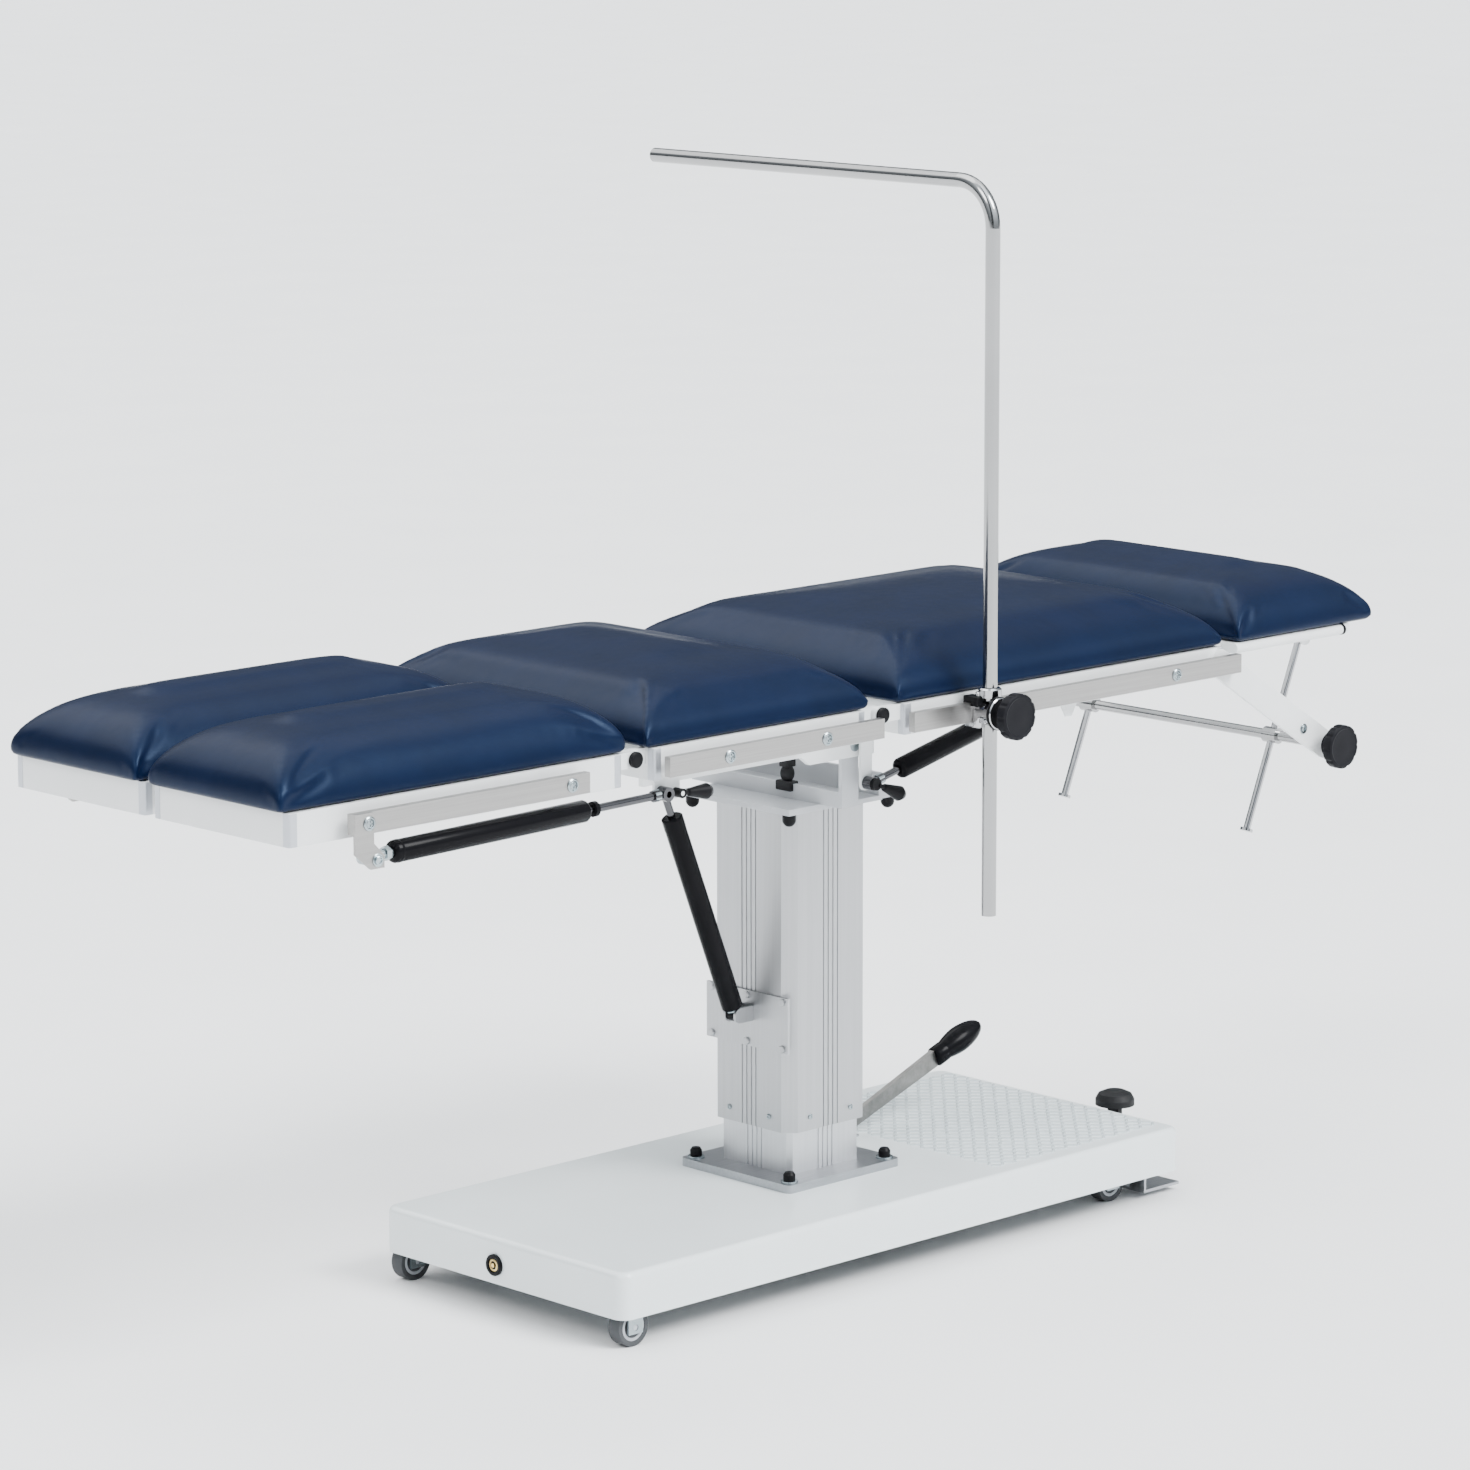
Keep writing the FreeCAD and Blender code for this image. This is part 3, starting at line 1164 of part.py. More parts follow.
def make_pump():
    """Clevis on the tray behind the column, the lever that turns on its pin, and the lever's grip."""
    floor = "tray_bottom + tray_height"
    gap = "lever_thickness / 2 + moving_gap"
    base = block("pump_base", "pump_base_length", f"2 * ({gap} + pedal_plate)", "pump_base_height",
                 "pump_hinge_x - pump_base_length / 2", f"pump_y - {gap} - pedal_plate", floor)
    parts = [base]
    ear_top = "pump_hinge_z + lever_pin_radius + pump_ear_margin"
    for name, side in (("near", "-1"), ("far", "1")):
        ear = plate(f"pump_ear_{name}", "XZ_Plane", [[
            ("pump_hinge_x - pump_ear_width / 2", floor), ("pump_hinge_x + pump_ear_width / 2", floor),
            ("pump_hinge_x + lever_pin_radius + pump_ear_margin", ear_top),
            ("pump_hinge_x - lever_pin_radius - pump_ear_margin", ear_top)]], "pedal_plate")
        parts.append(place(ear, "0", f"pump_y + {side} * ({gap} + pedal_plate / 2)", "0"))
    length = f"2 * ({gap} + pedal_plate + pump_pin_overhang)"
    parts.append(rod("pump_pin", "lever_pin_radius", length, "pump_hinge_x", f"pump_y + ({length}) / 2",
                     "pump_hinge_z", ACROSS, "90"))
    lever = new_body("pump_lever")
    solid = pad(lever, sketch(lever, "XZ_Plane", [[
        ("-lever_tail", "-lever_tail_width / 2"), ("lever_length", "-lever_width / 2"),
        ("lever_length", "lever_width / 2"), ("-lever_tail", "lever_tail_width / 2")]],
        [("0", "0", "lever_pin_radius + running_gap")]), "lever_thickness", True)
    place(lever, "pump_hinge_x", "pump_y", "pump_hinge_z", ALONG, "-lever_slope")
    grip = new_body("pump_grip")
    half = "(lever_thickness / 2 + running_gap)"
    high = "(lever_width / 2 + running_gap)"
    start = "(lever_length - 12)"
    reach = f"({start} + grip_length)"
    form = pad(grip, sketch(grip, "XZ_Plane", [[
        (start, "-grip_thickness / 2"), (f"{start} + 10", "-grip_thickness / 2 - 2"),
        (f"{reach} - 14", "-grip_thickness / 2 - 2"), (reach, "-grip_thickness / 2 + 8"),
        (reach, "grip_thickness / 2 - 6"), (f"{reach} - 14", "grip_thickness / 2 + 3"),
        (f"{start} + 10", "grip_thickness / 2 + 3"), (start, "grip_thickness / 2 + 1")]]),
        "grip_width", True)
    socket = pocket(grip, sketch(grip, "XZ_Plane", [rectangle(f"{start} - 1", f"lever_length + running_gap",
                                                            f"-{high}", high)]), f"2 * {half}", True)
    place(grip, "pump_hinge_x", "pump_y", "pump_hinge_z", ALONG, "-lever_slope")
    return [joined("pump_clevis", parts), lever, grip]


def make_pedals():
    """The floor-brake pedal with its L plate, and the lowering pedal with its domed pad."""
    under = "tray_bottom + tray_height - tray_wall - chassis_height"
    y0 = "-brake_plate_y"
    tread = block("brake_tread", "brake_plate_length", "brake_plate_width", "pedal_plate",
                  "brake_plate_x", y0, "brake_plate_height")
    leg = plate("brake_leg", "XZ_Plane", [[
        ("brake_plate_x", "brake_plate_height"), ("brake_plate_x + pedal_plate", "brake_plate_height"),
        ("brake_plate_x + pedal_plate", "brake_pivot_z + pedal_hub"),
        ("brake_pivot_x - pedal_hub", "brake_pivot_z + pedal_hub"),
        ("brake_pivot_x - pedal_hub", "brake_pivot_z - pedal_hub"),
        ("brake_plate_x", "brake_pivot_z - pedal_hub")]],
        "brake_leg_width", [("brake_pivot_x", "brake_pivot_z", "pedal_pin + running_gap")],
        both_ways=False, reverse=True)
    place(leg, "0", y0, "0")
    brake = joined("brake_pedal", [tread, leg])
    arm = plate("release_arm", "XZ_Plane", [[
        ("release_pivot_x - pedal_hub", "release_low"), ("release_x + release_bar / 2", "release_low"),
        ("release_x + release_bar / 2", "release_pad_bottom"),
        ("release_x - release_bar / 2", "release_pad_bottom"),
        ("release_x - release_bar / 2", "release_low + release_bar"),
        ("release_pivot_x + pedal_hub", "release_low + release_bar"),
        ("release_pivot_x + pedal_hub", "release_pivot_z + pedal_hub"),
        ("release_pivot_x - pedal_hub", "release_pivot_z + pedal_hub")]],
        "release_arm_width", [("release_pivot_x", "release_pivot_z", "pedal_pin + running_gap")])
    place(arm, "0", "-release_y", "0")
    rise = "(release_pad_top - release_pad_bottom)"
    pad_form = turned("release_pad", [
        ("0", "0"), ("release_pad_radius", "0"), ("release_pad_radius", f"{rise} * 0.4"),
        ("release_pad_radius * 0.85", f"{rise} * 0.75"), ("release_pad_radius * 0.5", f"{rise} * 0.95"),
        ("0", rise)])
    place(pad_form, "release_x", "-release_y", "release_pad_bottom")
    release = group("release_pedal", [arm, pad_form])
    hangers = []
    for name, x, z, face in (
            ("brake", "brake_pivot_x", "brake_pivot_z", "-brake_plate_y + brake_leg_width + moving_gap"),
            ("release", "release_pivot_x", "release_pivot_z",
             "-release_y + release_arm_width / 2 + moving_gap")):
        lug = block(f"{name}_hanger_lug", "hanger_width", "hanger_depth", f"{under} - ({z}) + pedal_hub",
                    f"{x} - hanger_width / 2", face, f"({z}) - pedal_hub")
        reach = "brake_leg_width" if name == "brake" else "release_arm_width"
        pin = rod(f"{name}_hanger_pin", "pedal_pin", f"{reach} + moving_gap", x, face, z, ACROSS, "90")
        hangers.append(joined(f"{name}_hanger", [lug, pin]))
    return [brake, release], hangers


def make_knob(label, x, y, z, turn):
    """A lobed clamping knob: a thick disc with scallops round its rim and a stepped boss."""
    body = turned(label, [("0", "0"), ("knob_radius * 0.4", "0"), ("knob_radius * 0.45", "knob_height * 0.35"),
                          ("knob_radius - 3", "knob_height * 0.35"), ("knob_radius", "knob_height * 0.45"),
                          ("knob_radius", "knob_height - 5"), ("knob_radius - 4", "knob_height - 1"),
                          ("knob_radius * 0.5", "knob_height"), ("0", "knob_height")])
    scallops = [(f"lobe_pitch * cos({60 * number})", f"lobe_pitch * sin({60 * number})", "lobe_radius")
                for number in range(6)]
    pocket(body, sketch(body, "XY_Plane", (), scallops), "knob_height + 1", reverse=True)
    return place(body, x, y, z, ACROSS, turn)


def make_head():
    """Head section: tube frame with a board, arms, cross tube, two sliding rods, knob and cushion."""
    y = "(table_width / 2 - head_tube_radius - head_tube_inset)"
    centre = "top_height - head_tube_radius"
    parts = []
    for name, side in (("near", "-"), ("far", "")):
        parts.append(rod(f"head_tube_{name}", "head_tube_radius", "head_end - head_start", "head_start",
                         f"{side}{y}", centre, ALONG, "90"))
        parts.append(make_lug(f"head_lug_{name}", "head_start", "head_hinge_x",
                              f"{side}(head_lug_y + lug_thickness / 2 + moving_gap / 2)", "-",
                              "head_", "head_pin_radius", "head_hinge_z"))
        for end, sign in (("a", "-1"), ("b", "1")):
            parts.append(hanging_ear(f"head_ear_{name}_{end}", "head_rod_top_x", "head_rod_top_z",
                                     f"{side}head_rod_y + ({ear_offset(sign)})",
                                     "top_height - 2 * head_tube_radius + head_board"))
    length = "head_crossbar_width"
    for name, x in (("a", "head_start"), ("b", "head_rod_top_x + ear_radius - head_crossbar_width")):
        parts.append(block(f"head_crossbar_{name}", length, f"2 * {y}", "2 * head_tube_radius - head_board",
                           x, f"-{y}", "top_height - 2 * head_tube_radius"))
    parts.append(block("head_sheet", "head_rod_top_x + ear_radius - head_start", f"2 * {y}", "head_board",
                       "head_start", f"-{y}", "top_height - head_board"))
    frame = joined("head_frame", parts)
    cross = ("cross_x", "cross_z")
    root = ("arm_root_x", "arm_root_z")
    reach = distance(*cross, *root)
    turn = slope(*cross, *root)
    arms = []
    for name, side in (("near", "-1"), ("far", "1")):
        arm = new_body(f"head_arm_{name}")
        solid = pad(arm, sketch(arm, "XZ_Plane", [rectangle("-arm_width / 2", "arm_width / 2", "-arm_width / 2",
                                                          f"({reach}) + arm_width / 2")],
                                [("0", "0", "cross_radius + running_gap")]), "arm_thickness", True)
        round_edges(arm, solid, lambda edge: abs(direction(edge).y) > 0.99, "arm_width / 2 - 1")
        arms.append(place(arm, cross[0], f"{side} * (table_width / 2 + arm_thickness / 2)", cross[1],
                          ALONG, turn))
    half = "(table_width / 2 + arm_thickness + cross_overhang)"
    bar = rod("head_cross_bar", "cross_radius", f"2 * {half}", cross[0], half, cross[1], ACROSS, "90")
    lean = slope(*cross, "head_rod_top_x", "head_rod_top_z")
    collars = []
    holes = []
    rods = []
    for name, side in (("near", "-"), ("far", "")):
        collars.append(rod(f"head_collar_{name}", "collar_radius", "collar_length", cross[0],
                           f"{side}head_rod_y + collar_length / 2", cross[1], ACROSS, "90"))
        holes.append(rod(f"head_collar_hole_{name}", "head_rod_radius + running_gap", "4 * collar_radius",
                         f"{cross[0]} - 2 * collar_radius * sin({lean})", f"{side}head_rod_y",
                         f"{cross[1]} - 2 * collar_radius * cos({lean})", ALONG, lean))
        shaft = turned(f"head_rod_{name}", [
            ("0", "eye_radius - 1"), ("head_rod_radius", "eye_radius - 1"),
            ("head_rod_radius", "head_rod_length - foot_washer_thickness"),
            ("foot_washer_radius", "head_rod_length - foot_washer_thickness"),
            ("foot_washer_radius", "head_rod_length"), ("0", "head_rod_length")])
        place(shaft, "head_rod_top_x", f"{side}head_rod_y", "head_rod_top_z", ALONG, f"({lean}) + 180 deg")
        eye = make_eye(f"head_rod_eye_{name}", "head_rod_top_x", f"{side}head_rod_y", "head_rod_top_z")
        rods.append(joined(f"head_rod_{name}_whole", [shaft, eye]))
    tube = drilled("head_cross_tube", joined("head_cross_form", [bar] + collars), holes)
    knob = make_knob("head_knob", cross[0], f"-{half} - moving_gap", cross[1], "90")
    cushion = make_cushion("head_cushion", "head_hinge_x + cushion_parting", "head_cushion_end",
                           "-table_width / 2", "table_width / 2", "head_cushion_height", "head_cushion_crown")
    return [frame, group("head_arms", arms), tube, group("head_rods", rods), knob, cushion]


def make_screen():
    """Anaesthesia screen: rail clamp, turning ring, bent tube and clamping knob."""
    rail = "(table_width / 2 + rail_standoff)"
    middle = "top_height - rail_drop - rail_height / 2"
    half = "(rail_height / 2 + moving_gap)"
    back = f"-({rail} - moving_gap - clamp_lip)"
    front = "-(screen_y + screen_radius + clamp_wall)"
    slot_back = f"-({rail} - moving_gap)"
    slot_front = f"-({rail} + rail_thickness + moving_gap)"
    grip_height = "(rail_height / 2 - clamp_lip)"
    clamp = plate("screen_clamp_form", "YZ_Plane", [[
        (front, f"-({half} + clamp_wall)"), (back, f"-({half} + clamp_wall)"), (back, f"-{grip_height}"),
        (slot_back, f"-{grip_height}"), (slot_back, f"-{half}"), (slot_front, f"-{half}"),
        (slot_front, half), (slot_back, half), (slot_back, grip_height), (back, grip_height),
        (back, f"{half} + clamp_wall"), (front, f"{half} + clamp_wall")]], "clamp_length")
    place(clamp, "screen_x", "0", middle)
    height = f"2 * ({half} + clamp_wall)"
    bore = rod("screen_clamp_bore", "screen_radius + moving_gap", f"{height} + 2", "screen_x", "-screen_y",
               f"{middle} - {half} - clamp_wall - 1")
    body = drilled("screen_clamp", clamp, [bore])
    ring = turned("screen_ring", [("screen_radius + running_gap", "0"), ("ring_radius", "0"),
                                  ("ring_radius", "ring_height - 2"), ("ring_radius - 2", "ring_height"),
                                  ("screen_radius + running_gap", "ring_height")])
    place(ring, "screen_x", "-screen_y", f"{middle} + {half} + clamp_wall + running_gap")
    tube = make_bent_tube()
    stem = "screen_knob_stem"
    knob = make_knob("screen_knob_form", "screen_x", f"{front} - {stem}", middle, "90")
    shaft = rod("screen_knob_shaft", "knob_bore", stem, "screen_x", f"{front} - moving_gap", middle, ACROSS, "90")
    return [body, ring, tube, joined("screen_knob", [knob, shaft])]


def make_bent_tube():
    """An upright tube with one bend and a long level arm over the table."""
    straight = "screen_top - screen_bend - screen_bottom"
    level = "screen_reach + screen_y - screen_bend"
    solids = {}
    for kind, radius in (("wall", "screen_radius"), ("hollow", "screen_radius - screen_wall")):
        post = rod(f"screen_post_{kind}", radius, straight, "screen_x", "-screen_y", "screen_bottom")
        arm = rod(f"screen_arm_{kind}", radius, level, "screen_x", "screen_reach", "screen_top", ACROSS, "90")
        bend = named("Part::Torus", f"screen_bend_{kind}")
        bind(bend, Radius1="screen_bend", Radius2=radius)
        bend.Angle3 = 90
        place(bend, "screen_x", "screen_bend - screen_y", "screen_top - screen_bend", (-1, 1, 1), "-120")
        solids[kind] = joined(f"screen_{kind}", [post, bend, arm])
    return drilled("screen_tube", solids["wall"], [solids["hollow"]])


def make_all():
    pedals, hangers = make_pedals()
    pieces = make_tray() + make_chassis(hangers) + make_castors() + make_earth_socket()
    pieces += make_foot() + make_column() + make_yoke() + make_tilt_bracket() + make_pump() + pedals
    pieces += make_sections() + make_tilt_frame() + make_springs() + make_head() + make_screen()
    return pieces


def check(pieces):
    """Stop if any object failed or any piece has a bad shape."""
    for thing in document.Objects:
        if "Invalid" in thing.State or "Error" in thing.State:
            raise RuntimeError(f"{thing.Label} failed: {thing.State}")
    for piece in pieces:
        if piece.Shape.isNull() or not piece.Shape.isValid():
            raise RuntimeError(f"{piece.Label} has a bad shape")


def write(pieces):
    os.makedirs("parts", exist_ok=True)
    for piece in pieces:
        piece.Shape.exportStep(f"parts/{piece.Label}.step")


fill_sheet()
all_pieces = make_all()
document.recompute()
check(all_pieces)
write(all_pieces)
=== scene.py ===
import math

import bmesh
import bpy
from mathutils import Matrix, Vector


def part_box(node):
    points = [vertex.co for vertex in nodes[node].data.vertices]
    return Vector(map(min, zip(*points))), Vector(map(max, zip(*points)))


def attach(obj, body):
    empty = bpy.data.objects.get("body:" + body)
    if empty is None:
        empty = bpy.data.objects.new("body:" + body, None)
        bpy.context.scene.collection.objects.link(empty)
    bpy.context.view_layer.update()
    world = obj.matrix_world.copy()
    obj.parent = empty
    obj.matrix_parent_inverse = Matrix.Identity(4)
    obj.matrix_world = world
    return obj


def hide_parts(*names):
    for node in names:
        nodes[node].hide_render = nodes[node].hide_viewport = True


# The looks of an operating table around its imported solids, in metres.
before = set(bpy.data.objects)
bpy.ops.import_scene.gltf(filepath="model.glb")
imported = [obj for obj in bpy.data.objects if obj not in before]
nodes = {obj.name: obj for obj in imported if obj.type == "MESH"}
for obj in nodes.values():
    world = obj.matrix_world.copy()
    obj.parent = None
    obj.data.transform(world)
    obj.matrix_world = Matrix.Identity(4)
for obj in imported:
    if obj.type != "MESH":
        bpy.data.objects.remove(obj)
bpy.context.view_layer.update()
MM = 0.001
NEXT_TO_NOTHING = 1e-6
COLUMN_X = 98 * MM
NAVY = (0.0019, 0.0054, 0.021)
BLUE_GLOSS = (0.42, 0.64, 1.0, 1)
NEAR_WHITE = (0.80, 0.81, 0.81)
TRAY_GREY = (0.76, 0.81, 0.82)


# Materials

def blank_material(name):
    material = bpy.data.materials.new(name)
    material.use_nodes = True
    nodes_of = material.node_tree.nodes
    shader = nodes_of["Principled BSDF"]
    place = nodes_of.new("ShaderNodeTexCoord")
    return material, shader, place.outputs["Object"]


def stretched(material, vector, scale):
    mapping = material.node_tree.nodes.new("ShaderNodeMapping")
    mapping.inputs["Scale"].default_value = scale
    material.node_tree.links.new(vector, mapping.inputs["Vector"])
    return mapping.outputs["Vector"]


def noise(material, vector, scale, detail=3.0, roughness=0.5):
    texture = material.node_tree.nodes.new("ShaderNodeTexNoise")
    texture.inputs["Scale"].default_value = scale
    texture.inputs["Detail"].default_value = detail
    texture.inputs["Roughness"].default_value = roughness
    material.node_tree.links.new(vector, texture.inputs["Vector"])
    return texture.outputs["Fac"]


def cells(material, vector, scale, feature="F1"):
    texture = material.node_tree.nodes.new("ShaderNodeTexVoronoi")
    texture.feature = feature
    texture.inputs["Scale"].default_value = scale
    material.node_tree.links.new(vector, texture.inputs["Vector"])
    return texture.outputs["Distance"]


def ramp(material, factor, low, high, low_at=0.35, high_at=0.65):
    blend = material.node_tree.nodes.new("ShaderNodeValToRGB")
    blend.color_ramp.elements[0].position = low_at
    blend.color_ramp.elements[1].position = high_at
    blend.color_ramp.elements[0].color = (*low, 1)
    blend.color_ramp.elements[1].color = (*high, 1)
    material.node_tree.links.new(factor, blend.inputs["Fac"])
    return blend.outputs["Color"]


def spread(material, factor, low, high):
    """Turn a factor of 0 to 1 into a value from low to high."""
    node = material.node_tree.nodes.new("ShaderNodeMapRange")
    node.inputs["To Min"].default_value = low
    node.inputs["To Max"].default_value = high
    material.node_tree.links.new(factor, node.inputs["Value"])
    return node.outputs["Result"]


def relief(material, height, depth, previous=None):
    bump = material.node_tree.nodes.new("ShaderNodeBump")
    bump.inputs["Strength"].default_value = 1.0
    bump.inputs["Distance"].default_value = depth
    material.node_tree.links.new(height, bump.inputs["Height"])
    if previous is not None:
        material.node_tree.links.new(previous, bump.inputs["Normal"])
    return bump.outputs["Normal"]


def shades(colour, amount):
    """A darker and a lighter shade of a colour."""
    return tuple(c * (1 - amount) for c in colour), tuple(c * (1 + amount) for c in colour)


def coated(name, colour, roughness, metallic=0.0, coat=0.0, speckle=0.04, peel=0.00002, peel_scale=350,
           gloss=0.5):
    """Paint, plastic or plated metal with a fine uneven surface and a slightly uneven colour."""
    material, shader, place = blank_material(name)
    link = material.node_tree.links.new
    shader.inputs["Metallic"].default_value = metallic
    shader.inputs["Coat Weight"].default_value = coat
    shader.inputs["Specular IOR Level"].default_value = gloss
    shader.inputs["Coat Roughness"].default_value = 0.12
    low, high = shades(colour, speckle)
    link(ramp(material, noise(material, place, 9, 4), low, high), shader.inputs["Base Color"])
    link(spread(material, noise(material, place, 24, 3), roughness - 0.05, roughness + 0.07),
         shader.inputs["Roughness"])
    link(relief(material, noise(material, place, peel_scale, 2), peel), shader.inputs["Normal"])
    return material


def brushed(name, colour, roughness, grain, depth=0.00002, streak=0.10):
    """Metal with fine parallel brush lines: grain is the scale of the pattern along X, Y and Z."""
    material, shader, place = blank_material(name)
    link = material.node_tree.links.new
    shader.inputs["Metallic"].default_value = 1.0
    lines = noise(material, stretched(material, place, grain), 1.0, 5, 0.7)
    broad = noise(material, place, 6, 3)
    low, high = shades(colour, streak)
    link(ramp(material, lines, low, high, 0.3, 0.7), shader.inputs["Base Color"])
    link(spread(material, broad, roughness - 0.06, roughness + 0.08), shader.inputs["Roughness"])
    link(relief(material, lines, depth), shader.inputs["Normal"])
    return material


def vinyl():
    """Navy upholstery vinyl: fine pebbled grain, a soft sheen and slightly mottled colour."""
    material, shader, place = blank_material("navy_vinyl")
    link = material.node_tree.links.new
    low, high = shades(NAVY, 0.10)
    link(ramp(material, noise(material, place, 14, 5), low, high), shader.inputs["Base Color"])
    link(spread(material, noise(material, place, 60, 4), 0.31, 0.40), shader.inputs["Roughness"])
    shader.inputs["Specular IOR Level"].default_value = 0.17
    shader.inputs["Specular Tint"].default_value = BLUE_GLOSS
    pebbles = relief(material, cells(material, place, 750), 0.00006)
    ripples = relief(material, noise(material, place, 26, 2), 0.0004, pebbles)
    link(ripples, shader.inputs["Normal"])
    return material


VINYL = vinyl()
TRAY_PAINT = coated("tray_paint", TRAY_GREY, 0.30, coat=0.35, speckle=0.015, peel=0.00004, peel_scale=160)
FRAME_PAINT = coated("frame_paint", NEAR_WHITE, 0.38, coat=0.15, speckle=0.02)
# Painted shade: the outer profile is coloured darker than the inner profile of the same anodised metal,
# standing in for the shade under the seat and on its side away from the key light.
COLUMN_METAL_PAINTED_SHADE = brushed("satin_anodised_painted_shade", (0.46, 0.465, 0.475), 0.40, (260, 260, 3), 0.000015, 0.05)
INNER_METAL = brushed("satin_inner", (0.64, 0.645, 0.66), 0.40, (260, 260, 3), 0.000015, 0.05)
YOKE_PAINT = coated("yoke_paint", (0.50, 0.51, 0.53), 0.36, speckle=0.02)
RAIL_STEEL = brushed("brushed_rail", (0.36, 0.35, 0.34), 0.32, (5, 500, 500))
# Painted reflection: the polished tubes are coloured darker than bare steel, standing in for the darker
# surroundings they mirror.
TUBE_STEEL_PAINTED_DARK = coated("polished_tube_painted_dark_reflection", (0.36, 0.36, 0.36), 0.12, metallic=1.0, speckle=0.03, peel=0.000004)
LEVER_STEEL = brushed("brushed_lever", (0.24, 0.235, 0.225), 0.36, (60, 300, 60), streak=0.25)
PLATE_STEEL = brushed("satin_plate", (0.42, 0.43, 0.45), 0.34, (30, 200, 200))
CORNER_METAL = coated("corner_metal", (0.52, 0.54, 0.58), 0.36, metallic=0.75)
CHROME = coated("polished_chrome", (0.44, 0.44, 0.45), 0.08, metallic=1.0, speckle=0.01, peel=0.000004)
# Painted reflection: the polished rods are coloured near black, standing in for the dark surroundings they
# mirror.
ROD_STEEL_PAINTED_DARK = coated("polished_rod_painted_dark_reflection", (0.085, 0.085, 0.09), 0.14, metallic=1.0, speckle=0.04, peel=0.000004)
ZINC = coated("zinc_plating", (0.36, 0.41, 0.43), 0.26, metallic=1.0, speckle=0.12)
SPRING_PAINT = coated("black_spring_paint", (0.005, 0.005, 0.006), 0.20, speckle=0.1, gloss=0.055,
                      peel=0.000008)
BLACK_PLASTIC = coated("black_plastic", (0.006, 0.006, 0.007), 0.36, speckle=0.1, peel=0.00005,
                       peel_scale=900, gloss=0.09)
TREAD_PAINT = coated("tread_paint", (0.56, 0.62, 0.64), 0.26, coat=0.4, speckle=0.02)
KNOB_PLASTIC = coated("moulded_knob", (0.008, 0.008, 0.010), 0.46, speckle=0.1, peel=0.00008, peel_scale=1100,
                      gloss=0.08)
RUBBER = coated("black_rubber", (0.010, 0.010, 0.011), 0.55, speckle=0.12, peel=0.00012, peel_scale=700,
                gloss=0.22)
TYRE = coated("grey_tyre", (0.055, 0.058, 0.062), 0.55, speckle=0.08, peel=0.00008, peel_scale=600,
              gloss=0.25)
HUB = coated("hub_plastic", (0.42, 0.44, 0.47), 0.45, speckle=0.04)
BRASS = coated("brass_contact", (0.70, 0.52, 0.22), 0.28, metallic=1.0, speckle=0.05)
CHASSIS_PAINT = coated("chassis_paint", (0.05, 0.05, 0.055), 0.5, speckle=0.08, gloss=0.25)

FINISHES = {
    "base_tray": TRAY_PAINT, "chassis": CHASSIS_PAINT, "front_castor_forks": ZINC,
    "rear_castor_fork_near": ZINC, "rear_castor_fork_far": ZINC, "front_wheel_near": TYRE,
    "front_wheel_far": TYRE, "rear_wheel_near": TYRE, "rear_wheel_far": TYRE, "earth_socket": BRASS,
    "column_foot_plate": PLATE_STEEL, "foot_plate_bolts": BLACK_PLASTIC, "column_inner": INNER_METAL,
    "glide_strips": BLACK_PLASTIC, "hydraulic_cylinder": CHASSIS_PAINT, "column_outer": COLUMN_METAL_PAINTED_SHADE,
    "hydraulic_ram": CHROME, "tilt_yoke": YOKE_PAINT, "tilt_spring_bracket": COLUMN_METAL_PAINTED_SHADE,
    "pump_clevis": PLATE_STEEL, "pump_lever": LEVER_STEEL, "pump_grip": BLACK_PLASTIC,
    "brake_pedal": PLATE_STEEL, "release_pedal": RUBBER, "leg_pan_near": FRAME_PAINT,
    "leg_pan_far": FRAME_PAINT, "leg_rail_near": RAIL_STEEL, "leg_rail_far": RAIL_STEEL,
    "leg_cushion_near": VINYL, "leg_cushion_far": VINYL, "seat_pan": FRAME_PAINT, "hinge_pins": ZINC,
    "seat_rails": RAIL_STEEL, "seat_cushion": VINYL, "back_pan": FRAME_PAINT, "back_rails": RAIL_STEEL,
    "back_cushion": VINYL, "tilt_frame": FRAME_PAINT, "tilt_pins": ZINC, "tilt_cylinder": SPRING_PAINT,
    "tilt_rod": ROD_STEEL_PAINTED_DARK, "leg_cylinder_near": SPRING_PAINT, "leg_cylinder_far": SPRING_PAINT,
    "leg_rod_near": ROD_STEEL_PAINTED_DARK, "leg_rod_far": ROD_STEEL_PAINTED_DARK, "leg_release_near": BLACK_PLASTIC,
    "leg_release_far": BLACK_PLASTIC, "back_cylinder": SPRING_PAINT, "back_rod": ROD_STEEL_PAINTED_DARK,
    "back_release": BLACK_PLASTIC, "head_frame": FRAME_PAINT, "head_arms": FRAME_PAINT,
    "head_cross_tube": TUBE_STEEL_PAINTED_DARK, "head_rods": CHROME, "head_knob": KNOB_PLASTIC, "head_cushion": VINYL,
    "screen_clamp": CHROME, "screen_ring": CHROME, "screen_tube": TUBE_STEEL_PAINTED_DARK, "screen_knob": KNOB_PLASTIC,
}
for node_name, finish in FINISHES.items():
    mesh = nodes[node_name].data
    mesh.materials.clear()
    mesh.materials.append(finish)


# Tools for modelling a piece

def only(piece):
    """Select one piece and nothing else."""
    if bpy.context.object is not None and bpy.context.object.mode != "OBJECT":
        bpy.ops.object.mode_set(mode="OBJECT")
    bpy.ops.object.select_all(action="DESELECT")
    piece.select_set(True)
    bpy.context.view_layer.objects.active = piece
    return piece


def edit(piece):
    only(piece)
    bpy.ops.object.mode_set(mode="EDIT")
    bpy.ops.mesh.select_all(action="DESELECT")
    return bmesh.from_edit_mesh(piece.data)


